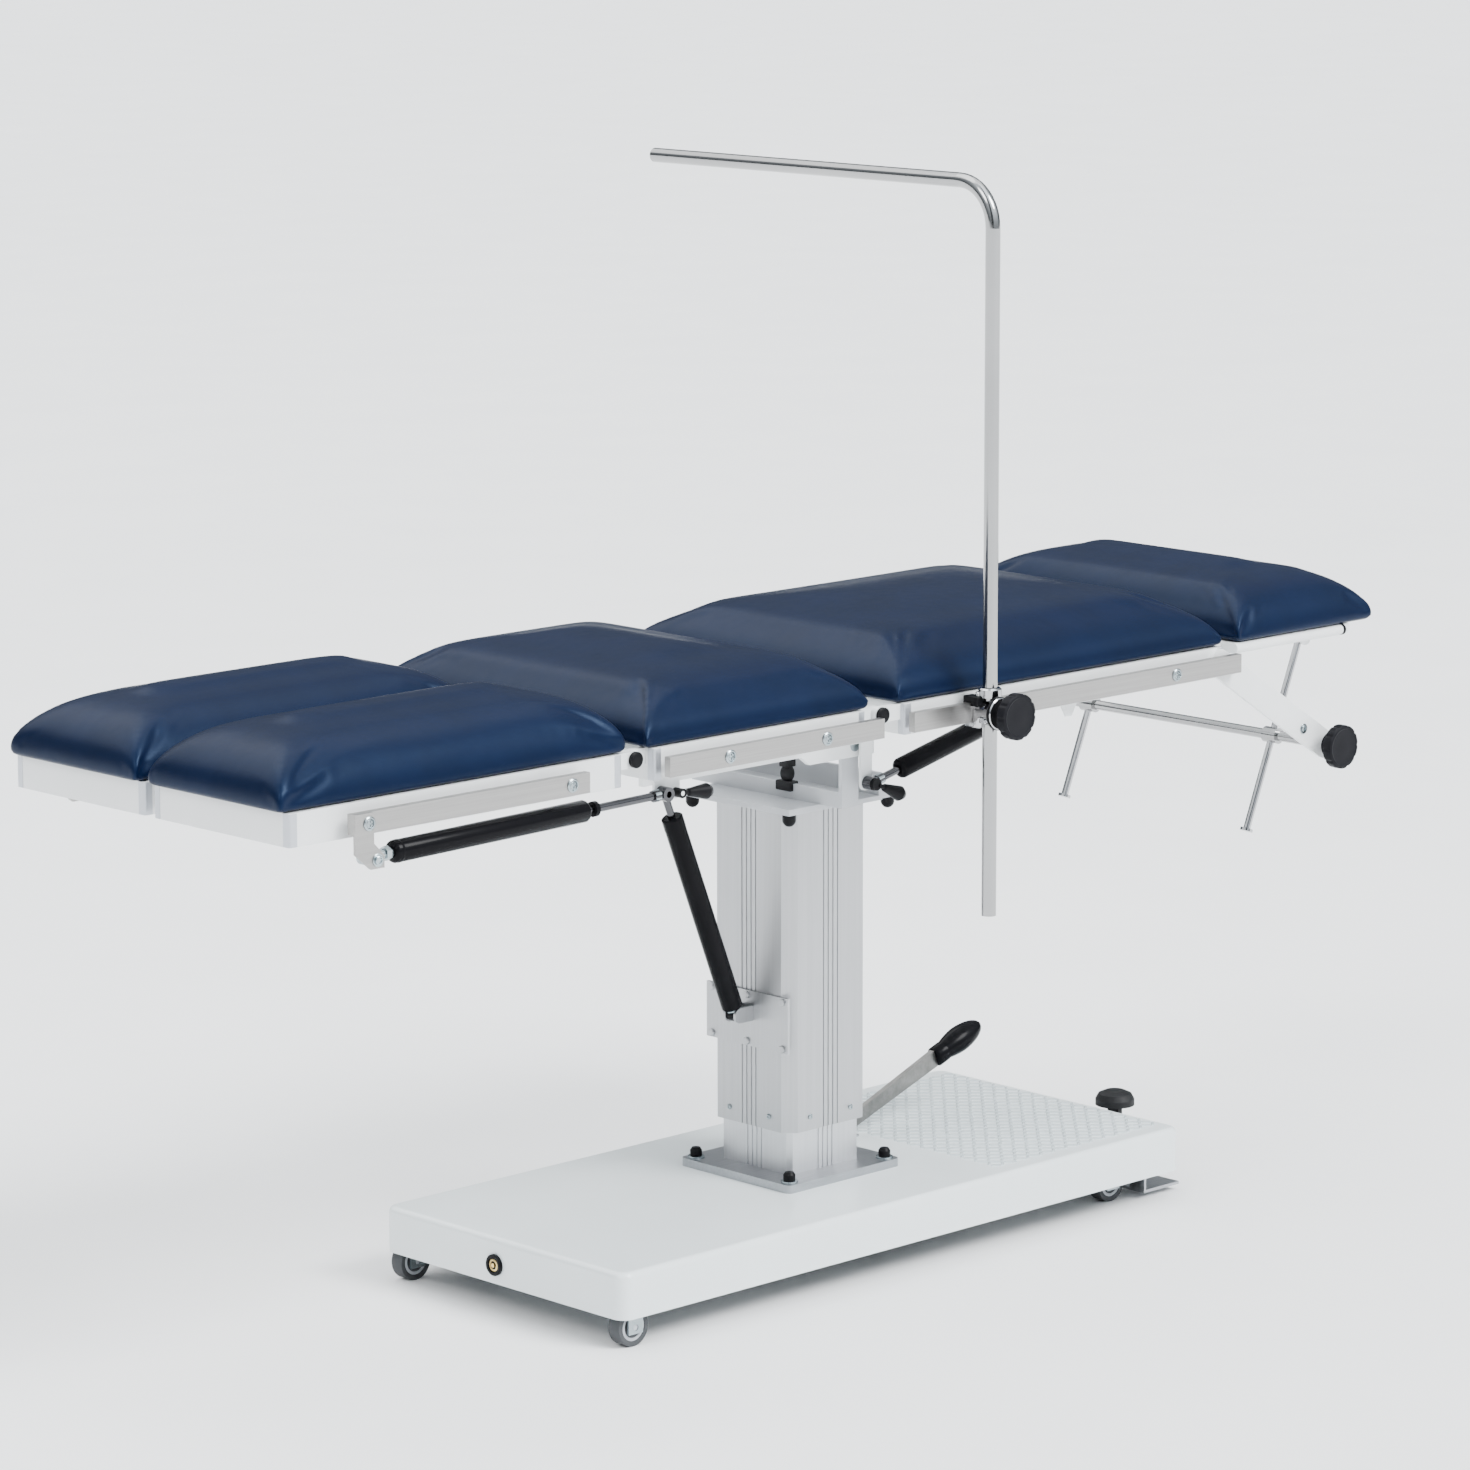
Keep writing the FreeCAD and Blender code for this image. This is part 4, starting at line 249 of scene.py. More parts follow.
def choose_faces(piece, wanted):
    """Select the faces that a test of centre and normal picks."""
    bpy.ops.mesh.select_mode(type="FACE")
    bpy.ops.mesh.select_all(action="DESELECT")
    form = bmesh.from_edit_mesh(piece.data)
    for face in form.faces:
        if wanted(face.calc_center_median(), face.normal):
            face.select = True
    bmesh.update_edit_mesh(piece.data)


def choose_edges(piece, wanted):
    """Select the edges that a test of their two ends picks."""
    bpy.ops.mesh.select_mode(type="EDGE")
    bpy.ops.mesh.select_all(action="DESELECT")
    form = bmesh.from_edit_mesh(piece.data)
    for edge in form.edges:
        if wanted(edge.verts[0].co, edge.verts[1].co):
            edge.select = True
    bmesh.update_edit_mesh(piece.data)


def leave(piece):
    bpy.ops.object.mode_set(mode="OBJECT")
    return piece


def settle(piece):
    """Put the piece's place into its mesh."""
    only(piece)
    bpy.ops.object.transform_apply(location=True, rotation=True, scale=True)
    return piece


def cube(name, low, high):
    middle = [(a + b) / 2 for a, b in zip(low, high)]
    size = [b - a for a, b in zip(low, high)]
    bpy.ops.mesh.primitive_cube_add(size=1, location=middle)
    piece = bpy.context.object
    piece.name = name
    piece.scale = size
    return settle(piece)


def cylinder(name, radius, start, end, sides=48):
    start, end = Vector(start), Vector(end)
    turn = (end - start).to_track_quat("Z", "Y").to_euler()
    bpy.ops.mesh.primitive_cylinder_add(vertices=sides, radius=radius, depth=(end - start).length,
                                        location=(start + end) / 2, rotation=turn)
    piece = bpy.context.object
    piece.name = name
    return settle(piece)


def round_all(piece, width, segments=3, angle=30):
    """Bevel every edge sharper than an angle."""
    only(piece)
    bevel = piece.modifiers.new("rounding", "BEVEL")
    bevel.width = width
    bevel.segments = segments
    bevel.limit_method = "ANGLE"
    bevel.angle_limit = math.radians(angle)
    bpy.ops.object.modifier_apply(modifier=bevel.name)
    return piece


def cut_away(piece, cutter):
    """Take a cutter's shape out of a piece, and throw the cutter away."""
    only(piece)
    cut = piece.modifiers.new("cut", "BOOLEAN")
    cut.operation = "DIFFERENCE"
    cut.object = cutter
    bpy.ops.object.modifier_apply(modifier=cut.name)
    discard(cutter)


def join(name, pieces):
    only(pieces[0])
    for piece in pieces[1:]:
        piece.select_set(True)
    bpy.ops.object.join()
    pieces[0].name = name
    pieces[0].data.name = name
    return pieces[0]


def dress(piece, material, body, smooth_angle=30):
    """Give a finished piece its material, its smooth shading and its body."""
    only(piece)
    bpy.ops.object.shade_smooth_by_angle(angle=math.radians(smooth_angle))
    piece.data.materials.clear()
    piece.data.materials.append(material)
    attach(piece, body)
    return piece


# Camera, floor and light

CAMERA_LENS = 134.91
CAMERA_PLACE = (-4.8516, -5.0297, 1.9965)
CAMERA_RIGHT = (0.71954, -0.69445, -0.00226)
CAMERA_UP = (0.12914, 0.13062, 0.98299)
CAMERA_BACK = (-0.68234, -0.70759, 0.18367)


def set_camera():
    """The camera that the photograph was taken with."""
    data = bpy.data.cameras.new("photo_camera")
    data.lens = CAMERA_LENS
    data.sensor_width = 36
    data.clip_end = 200
    camera = bpy.data.objects.new("photo_camera", data)
    bpy.context.scene.collection.objects.link(camera)
    turn = Matrix((CAMERA_RIGHT, CAMERA_UP, CAMERA_BACK)).transposed().to_4x4()
    camera.matrix_world = Matrix.Translation(CAMERA_PLACE) @ turn
    bpy.context.scene.camera = camera


FLOOR_WHITE = (0.93, 0.93, 0.93)
SKY_COLOUR = (0.87, 0.94, 1.0, 1)
SKY_LOW = 0.22
SKY_HIGH = 2.3
# Bright and grey cards round the studio: share of a full turn from -X by way of -Y, brightness
STUDIO_CARDS = (
    (0.0, 0.9), (1.0, 0.9), (0.07, 1.0), (0.10, 0.15), (0.145, 0.15), (0.18, 1.9), (0.36, 2.0), (0.43, 0.6),
    (0.50, 0.42), (0.77, 0.42), (0.90, 0.5),
)


def set_stage():
    bpy.ops.mesh.primitive_plane_add(size=160, location=(20, 20, 0))
    floor = bpy.context.object
    floor.name = "floor"
    material, shader, place = blank_material("pale_floor")
    shader.inputs["Roughness"].default_value = 0.7
    link = material.node_tree.links.new
    low, high = shades(FLOOR_WHITE, 0.01)
    link(ramp(material, noise(material, place, 3, 3), low, high), shader.inputs["Base Color"])
    floor.data.materials.append(material)


def set_world():
    """Studio air that is dimmer low down, with broad bright and grey cards for the metal to mirror."""
    world = bpy.data.worlds.new("studio")
    bpy.context.scene.world = world
    world.use_nodes = True
    tree = world.node_tree
    link = tree.links.new
    looking = tree.nodes.new("ShaderNodeTexCoord").outputs["Generated"]
    height = tree.nodes.new("ShaderNodeSeparateXYZ")
    link(looking, height.inputs["Vector"])
    brightness = tree.nodes.new("ShaderNodeMapRange")
    brightness.inputs["To Min"].default_value = SKY_LOW
    brightness.inputs["To Max"].default_value = SKY_HIGH
    link(height.outputs["Z"], brightness.inputs["Value"])
    around = tree.nodes.new("ShaderNodeTexGradient")
    around.gradient_type = "RADIAL"
    link(looking, around.inputs["Vector"])
    cards = tree.nodes.new("ShaderNodeValToRGB")
    for number, (share, grey) in enumerate(STUDIO_CARDS):
        stop = cards.color_ramp.elements[number] if number < 2 else cards.color_ramp.elements.new(share)
        stop.position = share
        stop.color = (grey, grey, grey, 1)
    link(around.outputs["Color"], cards.inputs["Fac"])
    both = tree.nodes.new("ShaderNodeMath")
    both.operation = "MULTIPLY"
    link(brightness.outputs["Result"], both.inputs[0])
    link(cards.outputs["Color"], both.inputs[1])
    link(both.outputs["Value"], tree.nodes["Background"].inputs["Strength"])
    tree.nodes["Background"].inputs["Color"].default_value = SKY_COLOUR


def add_softbox(name, place, target, size, power):
    data = bpy.data.lights.new(name, "AREA")
    data.shape = "RECTANGLE"
    data.size, data.size_y = size
    data.energy = power
    lamp = bpy.data.objects.new(name, data)
    bpy.context.scene.collection.objects.link(lamp)
    lamp.location = place
    lamp.rotation_euler = (Vector(target) - Vector(place)).to_track_quat("-Z", "Y").to_euler()


def add_broad_light(name, place, strength, spread_degrees):
    """A light from far off that falls evenly on the whole floor, with soft shadows."""
    data = bpy.data.lights.new(name, "SUN")
    data.energy = strength
    data.angle = math.radians(spread_degrees)
    lamp = bpy.data.objects.new(name, data)
    bpy.context.scene.collection.objects.link(lamp)
    lamp.location = place
    lamp.rotation_euler = (-Vector(place)).to_track_quat("-Z", "Y").to_euler()


def set_lights():
    add_broad_light("key_light", (1.2, -3.2, 3.3), 4.2, 26)
    add_broad_light("end_light", (-3.0, -0.6, 2.7), 1.3, 26)
    add_broad_light("back_light", (-0.6, 3.0, 4.2), 1.7, 60)
    add_softbox("overhead_softbox", (0.3, 0.6, 4.2), (0, 0, 0.7), (4.5, 2.2), 60)


set_camera()
set_stage()
set_world()
set_lights()


# Cushions

CUSHIONS = {
    # node: body, run and height of the crown, voxel size, how far it may swell, all in mm
    "leg_cushion_near": ("leg_near", 98, 75, 5, 5),
    "leg_cushion_far": ("leg_far", 98, 75, 5, 5),
    "seat_cushion": ("table", 124, 72, 5.5, 5),
    "back_cushion": ("back", 124, 74, 6, 5),
    "head_cushion": ("head", 108, 72, 5, 5),
}
CROWN_POWER = 0.95
SIDE_HEIGHT = 13 * MM
# the hips are sharp up to this height and fade into the rounded crown above it
CREASE_TOP = 14 * MM
CREASE_FADE = 40 * MM
CROWN_SMOOTHING = 70
HELD_HEIGHT = 6 * MM
AIR_PRESSURE = 4
SWELL_FRAMES = 20
ROLL = 9 * MM
CROWN_STEPS = 12
# the last rise of the top towards its middle: share of the way in, share of the rise
TOP_RISE = 11 * MM
CROWN_TOP = ((0.14, 0.34), (0.16, 0.28), (0.18, 0.20), (0.20, 0.13), (0.20, 0.05))


def cushion_form(name, run, height):
    """A hipped, crowned pad: a low side, then rings that rise and move in along a rounded slope."""
    low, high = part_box(name)
    pad = cube(name + "_cover", low, (high.x, high.y, low.z + SIDE_HEIGHT))
    edit(pad)
    choose_faces(pad, lambda centre, normal: normal.z > 0.9)
    rise = height - SIDE_HEIGHT
    previous_run, previous_rise = 0, 0
    for step in range(1, CROWN_STEPS + 1):
        angle = math.radians(90 * step / CROWN_STEPS)
        ring_run = run * (1 - math.cos(angle)) ** CROWN_POWER
        ring_rise = rise * math.sin(angle)
        bpy.ops.mesh.inset(thickness=ring_run - previous_run, depth=ring_rise - previous_rise,
                           use_even_offset=True)
        previous_run, previous_rise = ring_run, ring_rise
    spare = (min(high.x - low.x, high.y - low.y)) / 2 - run
    for share, lift in CROWN_TOP:
        bpy.ops.mesh.inset(thickness=spare * share, depth=TOP_RISE * lift)
    choose_edges(pad, lambda a, b: a.z < low.z + 0.1 * MM and b.z < low.z + 0.1 * MM)
    bpy.ops.mesh.bevel(offset=ROLL, segments=4, profile=0.5)
    return leave(pad)


def smooth(pad, factor, repeat, group=""):
    only(pad)
    soften = pad.modifiers.new("soften", "SMOOTH")
    soften.factor = factor
    soften.iterations = repeat
    soften.vertex_group = group
    bpy.ops.object.modifier_apply(modifier=soften.name)


def inflate(pad, cap, base_z):
    """Let air pressure swell the cover for a few frames, and cap how far each point moves."""
    only(pad)
    start = [vertex.co.copy() for vertex in pad.data.vertices]
    held = pad.vertex_groups.new(name="held")
    held.add([v.index for v in pad.data.vertices if v.co.z < base_z + HELD_HEIGHT], 1.0, "REPLACE")
    cloth = pad.modifiers.new("cloth", "CLOTH")
    cloth.settings.use_pressure = True
    cloth.settings.uniform_pressure_force = AIR_PRESSURE
    cloth.settings.vertex_group_mass = "held"
    cloth.settings.effector_weights.gravity = 0
    cloth.settings.quality = 4
    cloth.point_cache.frame_end = SWELL_FRAMES
    scene = bpy.context.scene
    for number in range(1, SWELL_FRAMES + 1):
        scene.frame_set(number)
    swollen = pad.evaluated_get(bpy.context.evaluated_depsgraph_get()).to_mesh()
    moves = [point.co - first for point, first in zip(swollen.vertices, start)]
    pad.evaluated_get(bpy.context.evaluated_depsgraph_get()).to_mesh_clear()
    bpy.ops.object.modifier_remove(modifier=cloth.name)
    for vertex, first, move in zip(pad.data.vertices, start, moves):
        length = move.length
        vertex.co = first + (move * (cap / length) if length > cap else move)
    pad.vertex_groups.clear()
    scene.frame_set(1)


def rest_on_plate(pad, plate_z):
    """Keep the cover's underside on its plate."""
    for vertex in pad.data.vertices:
        vertex.co.z = max(vertex.co.z, plate_z)


def make_cushion(node, body, run, height, voxel, swell):
    pad = cushion_form(node, run * MM, height * MM)
    low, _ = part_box(node)
    only(pad)
    pad.data.remesh_voxel_size = voxel * MM
    pad.data.use_remesh_preserve_volume = True
    bpy.ops.object.voxel_remesh()
    smooth(pad, 0.5, 4)
    crown = pad.vertex_groups.new(name="crown")
    for vertex in pad.data.vertices:
        share = (vertex.co.z - low.z - CREASE_TOP) / CREASE_FADE
        crown.add([vertex.index], min(max(share, 0), 1), "REPLACE")
    smooth(pad, 0.5, CROWN_SMOOTHING, "crown")
    pad.vertex_groups.clear()
    inflate(pad, swell * MM, low.z)
    smooth(pad, 0.5, 3)
    rest_on_plate(pad, low.z)
    only(pad)
    finer = pad.modifiers.new("finer", "SUBSURF")
    finer.levels = finer.render_levels = 1
    bpy.ops.object.modifier_apply(modifier=finer.name)
    pad.name = pad.data.name = node + "_cover"
    dress(pad, VINYL, body, 60)
    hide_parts(node)
    return pad


for cushion_node, (cushion_body, crown_run, crown_height, voxel_size, most_swell) in CUSHIONS.items():
    make_cushion(cushion_node, cushion_body, crown_run, crown_height, voxel_size, most_swell)


# Small pieces and fittings

TABLE_TOP = 758.5 * MM
PAN_HEIGHT = 40 * MM
RAIL_MIDDLE = 737.5 * MM
RAIL_FACE = 279 * MM
TRAY_TOP = 99 * MM
FOOT_PLATE_TOP = 110 * MM
FOOT_BOLT_REACH = 88
HEAD_PLATE_UNDER = 598 * MM
HEAD_BOLT_REACH = 90
COLUMN_HALF = 75 * MM
COLUMN_SCREW_HEIGHT = 186 * MM
SIDES = (("near", -1), ("far", 1))


def from_column(x):
    """A place along X from millimetres off the column's axis."""
    return COLUMN_X + x * MM


def place_of(x, y, z):
    """A place from millimetres off the column's axis, off the middle plane and off the floor."""
    return from_column(x), y * MM, z * MM


def inset_in_steps(steps):
    """Inset the chosen faces step by step, each with a thickness and a depth in mm."""
    for thickness, depth in steps:
        bpy.ops.mesh.inset(thickness=abs(thickness) * MM, depth=depth * MM, use_outset=thickness < 0)


def stepped(name, radius, start, end, steps, sides=32):
    """A round piece whose end face is worked on by insets, each a thickness and a depth in mm."""
    piece = cylinder(name, radius * MM, start, end, sides)
    axis = (Vector(end) - Vector(start)).normalized()
    far = Vector(end).dot(axis)
    edit(piece)
    choose_faces(piece, lambda centre, normal: normal.dot(axis) > 0.9 and centre.dot(axis) > far - 0.05 * MM)
    inset_in_steps(steps)
    return leave(piece)


def at_place(template, place, turn_z=0):
    """A copy of a piece that was modelled at the origin, turned about Z and put at its place."""
    twin = template.copy()
    twin.data = template.data.copy()
    bpy.context.scene.collection.objects.link(twin)
    twin.data.transform(Matrix.Translation(place) @ Matrix.Rotation(math.radians(turn_z), 4, "Z"))
    return twin


def discard(template):
    bpy.data.objects.remove(template, do_unlink=True)


def recess_cross(piece, axis_y, depth, arm=3.4, width=1.0):
    """Sink a cross recess into a screw head that faces -Y, by cutting with two thin bars."""
    for number, (wide, high) in enumerate(((arm, width), (width, arm))):
        cutter = cube(f"cutter_{number}", (-wide * MM, axis_y - 1 * MM, -high * MM),
                      (wide * MM, axis_y + depth * MM, high * MM))
        cut_away(piece, cutter)


def rail_screw():
    """Countersunk cross-recess screw in its cup washer, at the origin, facing -Y."""
    washer = stepped("cup", 8.6, (0, 1.2 * MM, 0), (0, -1.2 * MM, 0),
                     [(1.3, 0.9), (1.3, 0), (0.7, -1.6)], 40)
    head = stepped("head", 4.9, (0, 1 * MM, 0), (0, -1.2 * MM, 0), [(0.9, 0.5)], 32)
    recess_cross(head, -1.7 * MM, 1.5, 3.6, 1.2)
    return join("rail_screw", [washer, head])


RAIL_SCREWS = {"leg": (-955, -636), "seat": (-376, -209), "back": (76, 442)}
LEG_BRACKET_FACE = 283 * MM


def make_rail_screws():
    template = rail_screw()
    for section, places in RAIL_SCREWS.items():
        for side, sign in SIDES:
            turn = 0 if sign < 0 else 180
            # the screw behind the screen's clamp would catch on it
            kept = places[1:] if (section, side) == ("back", "near") else places
            faces = {x: LEG_BRACKET_FACE if x == RAIL_SCREWS["leg"][0] else RAIL_FACE for x in kept}
            screws = [at_place(template, (from_column(x), sign * faces[x], RAIL_MIDDLE), turn) for x in kept]
            body = {"leg": f"leg_{side}", "seat": "table", "back": "back"}[section]
            dress(join(f"{section}_rail_screws_{side}", screws), ZINC, body)
    discard(template)


def corner_strip():
    """Folded metal strip that wraps a pan's upright corner, at the origin, its corner towards -X, -Y."""
    reach, thick = 11 * MM, 0.5 * MM
    strip = cube("corner_strip", (0, 0, 0), (reach, reach, PAN_HEIGHT - 1 * MM))
    edit(strip)
    choose_faces(strip, lambda centre, normal: normal.x > 0.5 or normal.y > 0.5 or abs(normal.z) > 0.5)
    bpy.ops.mesh.delete(type="FACE")
    choose_edges(strip, lambda a, b: max(abs(a.x), abs(b.x), abs(a.y), abs(b.y)) < NEXT_TO_NOTHING)
    bpy.ops.mesh.bevel(offset=3 * MM, segments=4)
    leave(strip)
    wall = strip.modifiers.new("wall", "SOLIDIFY")
    wall.thickness = thick
    wall.offset = 1
    bpy.ops.object.modifier_apply(modifier=wall.name)
    return strip


PANS = {
    "leg_near": (-1052, -537, -257, -9), "leg_far": (-1052, -537, 9, 257),
    "table": (-483, -121, -257, 257), "back": (-50, 559, -257, 257),
}


def make_corner_strips():
    template = corner_strip()
    low = TABLE_TOP - PAN_HEIGHT + 0.5 * MM
    for body, (x0, x1, y0, y1) in PANS.items():
        strips = [at_place(template, (from_column(x), y * MM, low), turn)
                  for x, y, turn in ((x0, y0, 0), (x1, y0, 90), (x1, y1, 180), (x0, y1, 270))]
        dress(join(f"pan_corners_{body}", strips), CORNER_METAL, body)
    discard(template)


def make_column_screws():
    """Small pan-head screws near the lower end of the outer profile, two on each face."""
    template = stepped("column_screw", 3.6, (0, 0.5 * MM, 0), (0, -1.4 * MM, 0),
                       [(0.9, 0.5), (1.2, 0), (0.3, -0.8)], 24)
    screws = []
    for turn in range(0, 360, 90):
        for x in (-37, 37):
            spin_about = Matrix.Rotation(math.radians(turn), 4, "Z")
            screw = at_place(template, (x * MM, -COLUMN_HALF, COLUMN_SCREW_HEIGHT))
            screw.data.transform(Matrix.Translation((COLUMN_X, 0, 0)) @ spin_about)
            screws.append(screw)
    discard(template)
    dress(join("column_screws", screws), ZINC, "lift")


def at_corners(template, reach, height=0):
    """Copies of a piece at a square plate's four corners, their reach off the column's axis in mm."""
    places = [(from_column(x), y * MM, height) for x in (-reach, reach) for y in (-reach, reach)]
    copies = [at_place(template, place) for place in places]
    discard(template)
    return copies


def make_foot_washers():
    """Bright washers round the four black caps on the foot plate."""
    template = stepped("foot_washer", 11.5, (0, 0, 0), (0, 0, 2.3 * MM), [(0.4, 0.2)], 40)
    washers = at_corners(template, FOOT_BOLT_REACH, FOOT_PLATE_TOP)
    dress(join("foot_washers", washers), ZINC, "base")


def make_yoke_nut_domes():
    """Black domes over the nuts under the corners of the head plate."""
    template = stepped("nut_dome", 9, (0, 0, HEAD_PLATE_UNDER), (0, 0, HEAD_PLATE_UNDER - 8.5 * MM),
                       [(0.6, 2.0), (1.4, 2.4), (2.4, 2.2), (2.6, 0.9)], 36)
    domes = at_corners(template, HEAD_BOLT_REACH)
    dress(join("yoke_nut_domes", domes), BLACK_PLASTIC, "lift", 50)


SCREWS_IN_WASHERS = {
    # name: body, place on the far side, washer's radius and height, head's radius, height and sides, insets
    "arm_screw": ("back", (721, 263, 627), (7, 1.0), (4.6, 2.2, 32),
                  [(0.8, 0.5), (1.2, 0.1), (0.5, -1.5)]),
    "leg_bracket_bolt": ("leg_{}", (-943, 282.8, 693), (8, 1.2), (5.6, 3.6, 36),
                         [(0.7, 0.5), (1.4, 0), (0.5, -1.4)]),
}


def make_screws_in_washers():
    """Screws low on the head arms, and bolts on the leg brackets at the springs' outer pivots."""
    for name, (body, (x, y, z), washer_form, head_form, insets) in SCREWS_IN_WASHERS.items():
        for side, sign in SIDES:
            place = Vector(place_of(x, sign * y, z))
            out = Vector((0, sign, 0))
            radius, height = washer_form
            washer = stepped("washer", radius, place - out * 0.5 * MM, place + out * height * MM,
                             [(0.5, 0.3)], 36)
            radius, height, sides = head_form
            head = stepped("head", radius, place, place + out * height * MM, insets, sides)
            dress(join(f"{name}_{side}", [washer, head]), ZINC, body.format(side))


HINGE_CAPS = {"leg_hinge_caps": -510, "back_hinge_caps": -85.5}


def make_hinge_caps():
    """Black caps on the outer ends of the hinge pins."""
    inner, outer, height = 251.6, 256, 748
    for label, x in HINGE_CAPS.items():
        caps = [stepped("cap", 10, place_of(x, sign * inner, height), place_of(x, sign * outer, height),
                        [(1.2, 0.9), (4, 0.6)], 32) for _, sign in SIDES]
        dress(join(label, caps), BLACK_PLASTIC, "table")


def make_tilt_buffer():
    """Rubber buffer that stands on the yoke's front flange, under the seat."""
    x, y = from_column(-41), -37 * MM
    foot_low, foot_top, ball_middle, ball_cap, head_low, head_top = [
        height * MM for height in (616, 629, 638, 646, 647, 661)]
    foot = round_all(cube("buffer_foot", (x - 9 * MM, y - 14 * MM, foot_low),
                          (x + 7 * MM, y + 14 * MM, foot_top)), 2 * MM)
    bpy.ops.mesh.primitive_uv_sphere_add(segments=28, ring_count=16, radius=1, location=(x, y, ball_middle),
                                         scale=(9.5 * MM, 9.5 * MM, 12 * MM))
    body = settle(bpy.context.object)
    edit(body)
    choose_faces(body, lambda centre, normal: centre.z > ball_cap)
    bpy.ops.mesh.extrude_region_move(TRANSFORM_OT_translate={"value": (0, 0, 2 * MM)})
    leave(body)
    head = round_all(cube("buffer_head", (x - 8 * MM, y - 8 * MM, head_low),
                          (x + 8 * MM, y + 8 * MM, head_top)), 1.5 * MM)
    dress(join("tilt_buffer", [foot, body, head]), RUBBER, "lift")


def make_back_tab():
    """Small plate that hangs under the back section's near side."""
    x, low, high = from_column(262), 702 * MM, 719 * MM
    outer, inner = -252 * MM, -249 * MM
    tab = cube("back_tab", (x - 16 * MM, outer, low), (x + 16 * MM, inner, high))
    edit(tab)
    choose_faces(tab, lambda centre, normal: normal.z < -0.9)
    bpy.ops.transform.resize(value=(0.35, 1, 1), center_override=(x, (outer + inner) / 2, low))
    leave(tab)
    dress(round_all(tab, 0.5 * MM), FRAME_PAINT, "back")


KNOB_RADIUS = 30
KNOB_THICKNESS = 12
FLUTES = 10
STEPS_PER_FLUTE = 6
FLUTE_SCALE = 0.95
KNOB_FRONT_INSETS = ((2.2, 1.2), (2.5, 0.4), (1.0, -0.9), (14, 0.5), (6, 0.1))
KNOB_BACK_INSETS = ((3, 1.5), (13, 3))


def fluted_disc(name, place):
    """Clamping knob that faces -Y: a disc with shallow flutes in its rim and a stepped face."""
    x, y, z = place
    points = FLUTES * STEPS_PER_FLUTE
    disc = cylinder(name, KNOB_RADIUS * MM, (x, y, z), (x, y - KNOB_THICKNESS * MM, z), points)
    edit(disc)
    choose_faces(disc, lambda centre, normal: normal.y < -0.9)
    inset_in_steps(KNOB_FRONT_INSETS)
    choose_faces(disc, lambda centre, normal: normal.y > 0.9)
    inset_in_steps(KNOB_BACK_INSETS)
    bpy.ops.mesh.select_mode(type="VERT")
    bpy.ops.mesh.select_all(action="DESELECT")
    form = bmesh.from_edit_mesh(disc.data)
    for vertex in form.verts:
        across, up = vertex.co.x - x, vertex.co.z - z
        turn = round(math.degrees(math.atan2(up, across)) % 360 / (360 / points))
        on_rim = math.hypot(across, up) > (KNOB_RADIUS - 3) * MM
        if turn % STEPS_PER_FLUTE == 0 and on_rim:
            vertex.select = True
    bmesh.update_edit_mesh(disc.data)
    bpy.ops.transform.resize(value=(FLUTE_SCALE, 1, FLUTE_SCALE), center_override=(x, y, z))
    leave(disc)
    return round_all(disc, 0.8 * MM, 2, 28)


HEAD_KNOB_X = 766
HEAD_KNOB_Z = 600 * MM
SCREEN_X = 68.6
SCREEN_RING_FACE = -309.5 * MM


def make_knobs():
    """The two clamping knobs, each with its hub, and the stem of the screen's knob."""
    x, z = from_column(HEAD_KNOB_X), HEAD_KNOB_Z
    disc = fluted_disc("head_knob_disc", (x, -285 * MM, z))
    boss = stepped("head_knob_boss", 17, (x, -271.3 * MM, z), (x, -286 * MM, z), [(1, 0.5)], 40)
    knob = dress(join("head_knob_disc", [disc, boss]), KNOB_PLASTIC, "head_knob")
    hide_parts("head_knob")
    x, face, z = from_column(SCREEN_X), SCREEN_RING_FACE, RAIL_MIDDLE
    disc = fluted_disc("screen_knob_disc", (x, face - 23 * MM, z))
    hub = stepped("screen_knob_hub", 9.5, (x, face - 19 * MM, z), (x, face - 24 * MM, z), [(1, 0.5)], 40)
    knob = dress(join("screen_knob_disc", [disc, hub]), KNOB_PLASTIC, "screen_knob")
    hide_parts("screen_knob")
    stem = stepped("screen_knob_stem", 5.5, (x, face + 1 * MM, z), (x, face - 20 * MM, z), [(0.5, 0)], 6)
    dress(stem, CHROME, "screen_knob")


def make_screen_clamp():
    """Rail clamp of the screen: chrome jaws with a black pad, a chrome barrel, a dark face and a peg."""
    x, middle = from_column(SCREEN_X), RAIL_MIDDLE

    def block(name, left, right, outer, inner, low, high):
        return cube(name, (x + left * MM, outer * MM, middle + low * MM),
                    (x + right * MM, inner * MM, middle + high * MM))

    jaws = block("clamp_jaws", -17, 17, -290, -265, -19.5, 19.5)
    cut_away(jaws, block("clamp_slot", -20, 20, -279.3, -268.7, -12.8, 12.8))
    cut_away(jaws, block("clamp_mouth", -20, 20, -270, -260, -8.5, 8.5))
    round_all(jaws, 1.2 * MM, 2)
    dress(jaws, CHROME, "screen_clamp")
    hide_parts("screen_clamp")
    pad = round_all(block("clamp_pad", -20.5, -3, -291, -264.5, 8, 21), 2 * MM)
    dress(pad, BLACK_PLASTIC, "screen_clamp")
    barrel = stepped("clamp_barrel", 18, (x, -283 * MM, middle), (x, -303 * MM, middle),
                     [(0, 1), (-6, 1.5), (-1.5, 0.8), (0, 4.5), (1.2, 1.0), (1.8, 0), (0.6, -3)], 56)
    dress(barrel, CHROME, "screen_clamp")
    face = stepped("clamp_face", 21.5, (x, -307 * MM, middle), (x, -310 * MM, middle),
                   [(3, 1.2), (8, 0.6)], 48)
    dress(face, BLACK_PLASTIC, "screen_clamp")
    peg_x, peg_y = x - 9 * MM, -284 * MM
    peg = stepped("clamp_peg", 6, (peg_x, peg_y, middle + 19 * MM), (peg_x, peg_y, middle + 25 * MM),
                  [(1.2, 1.2), (2, 0.4)], 28)
    dress(peg, CHROME, "screen_clamp")


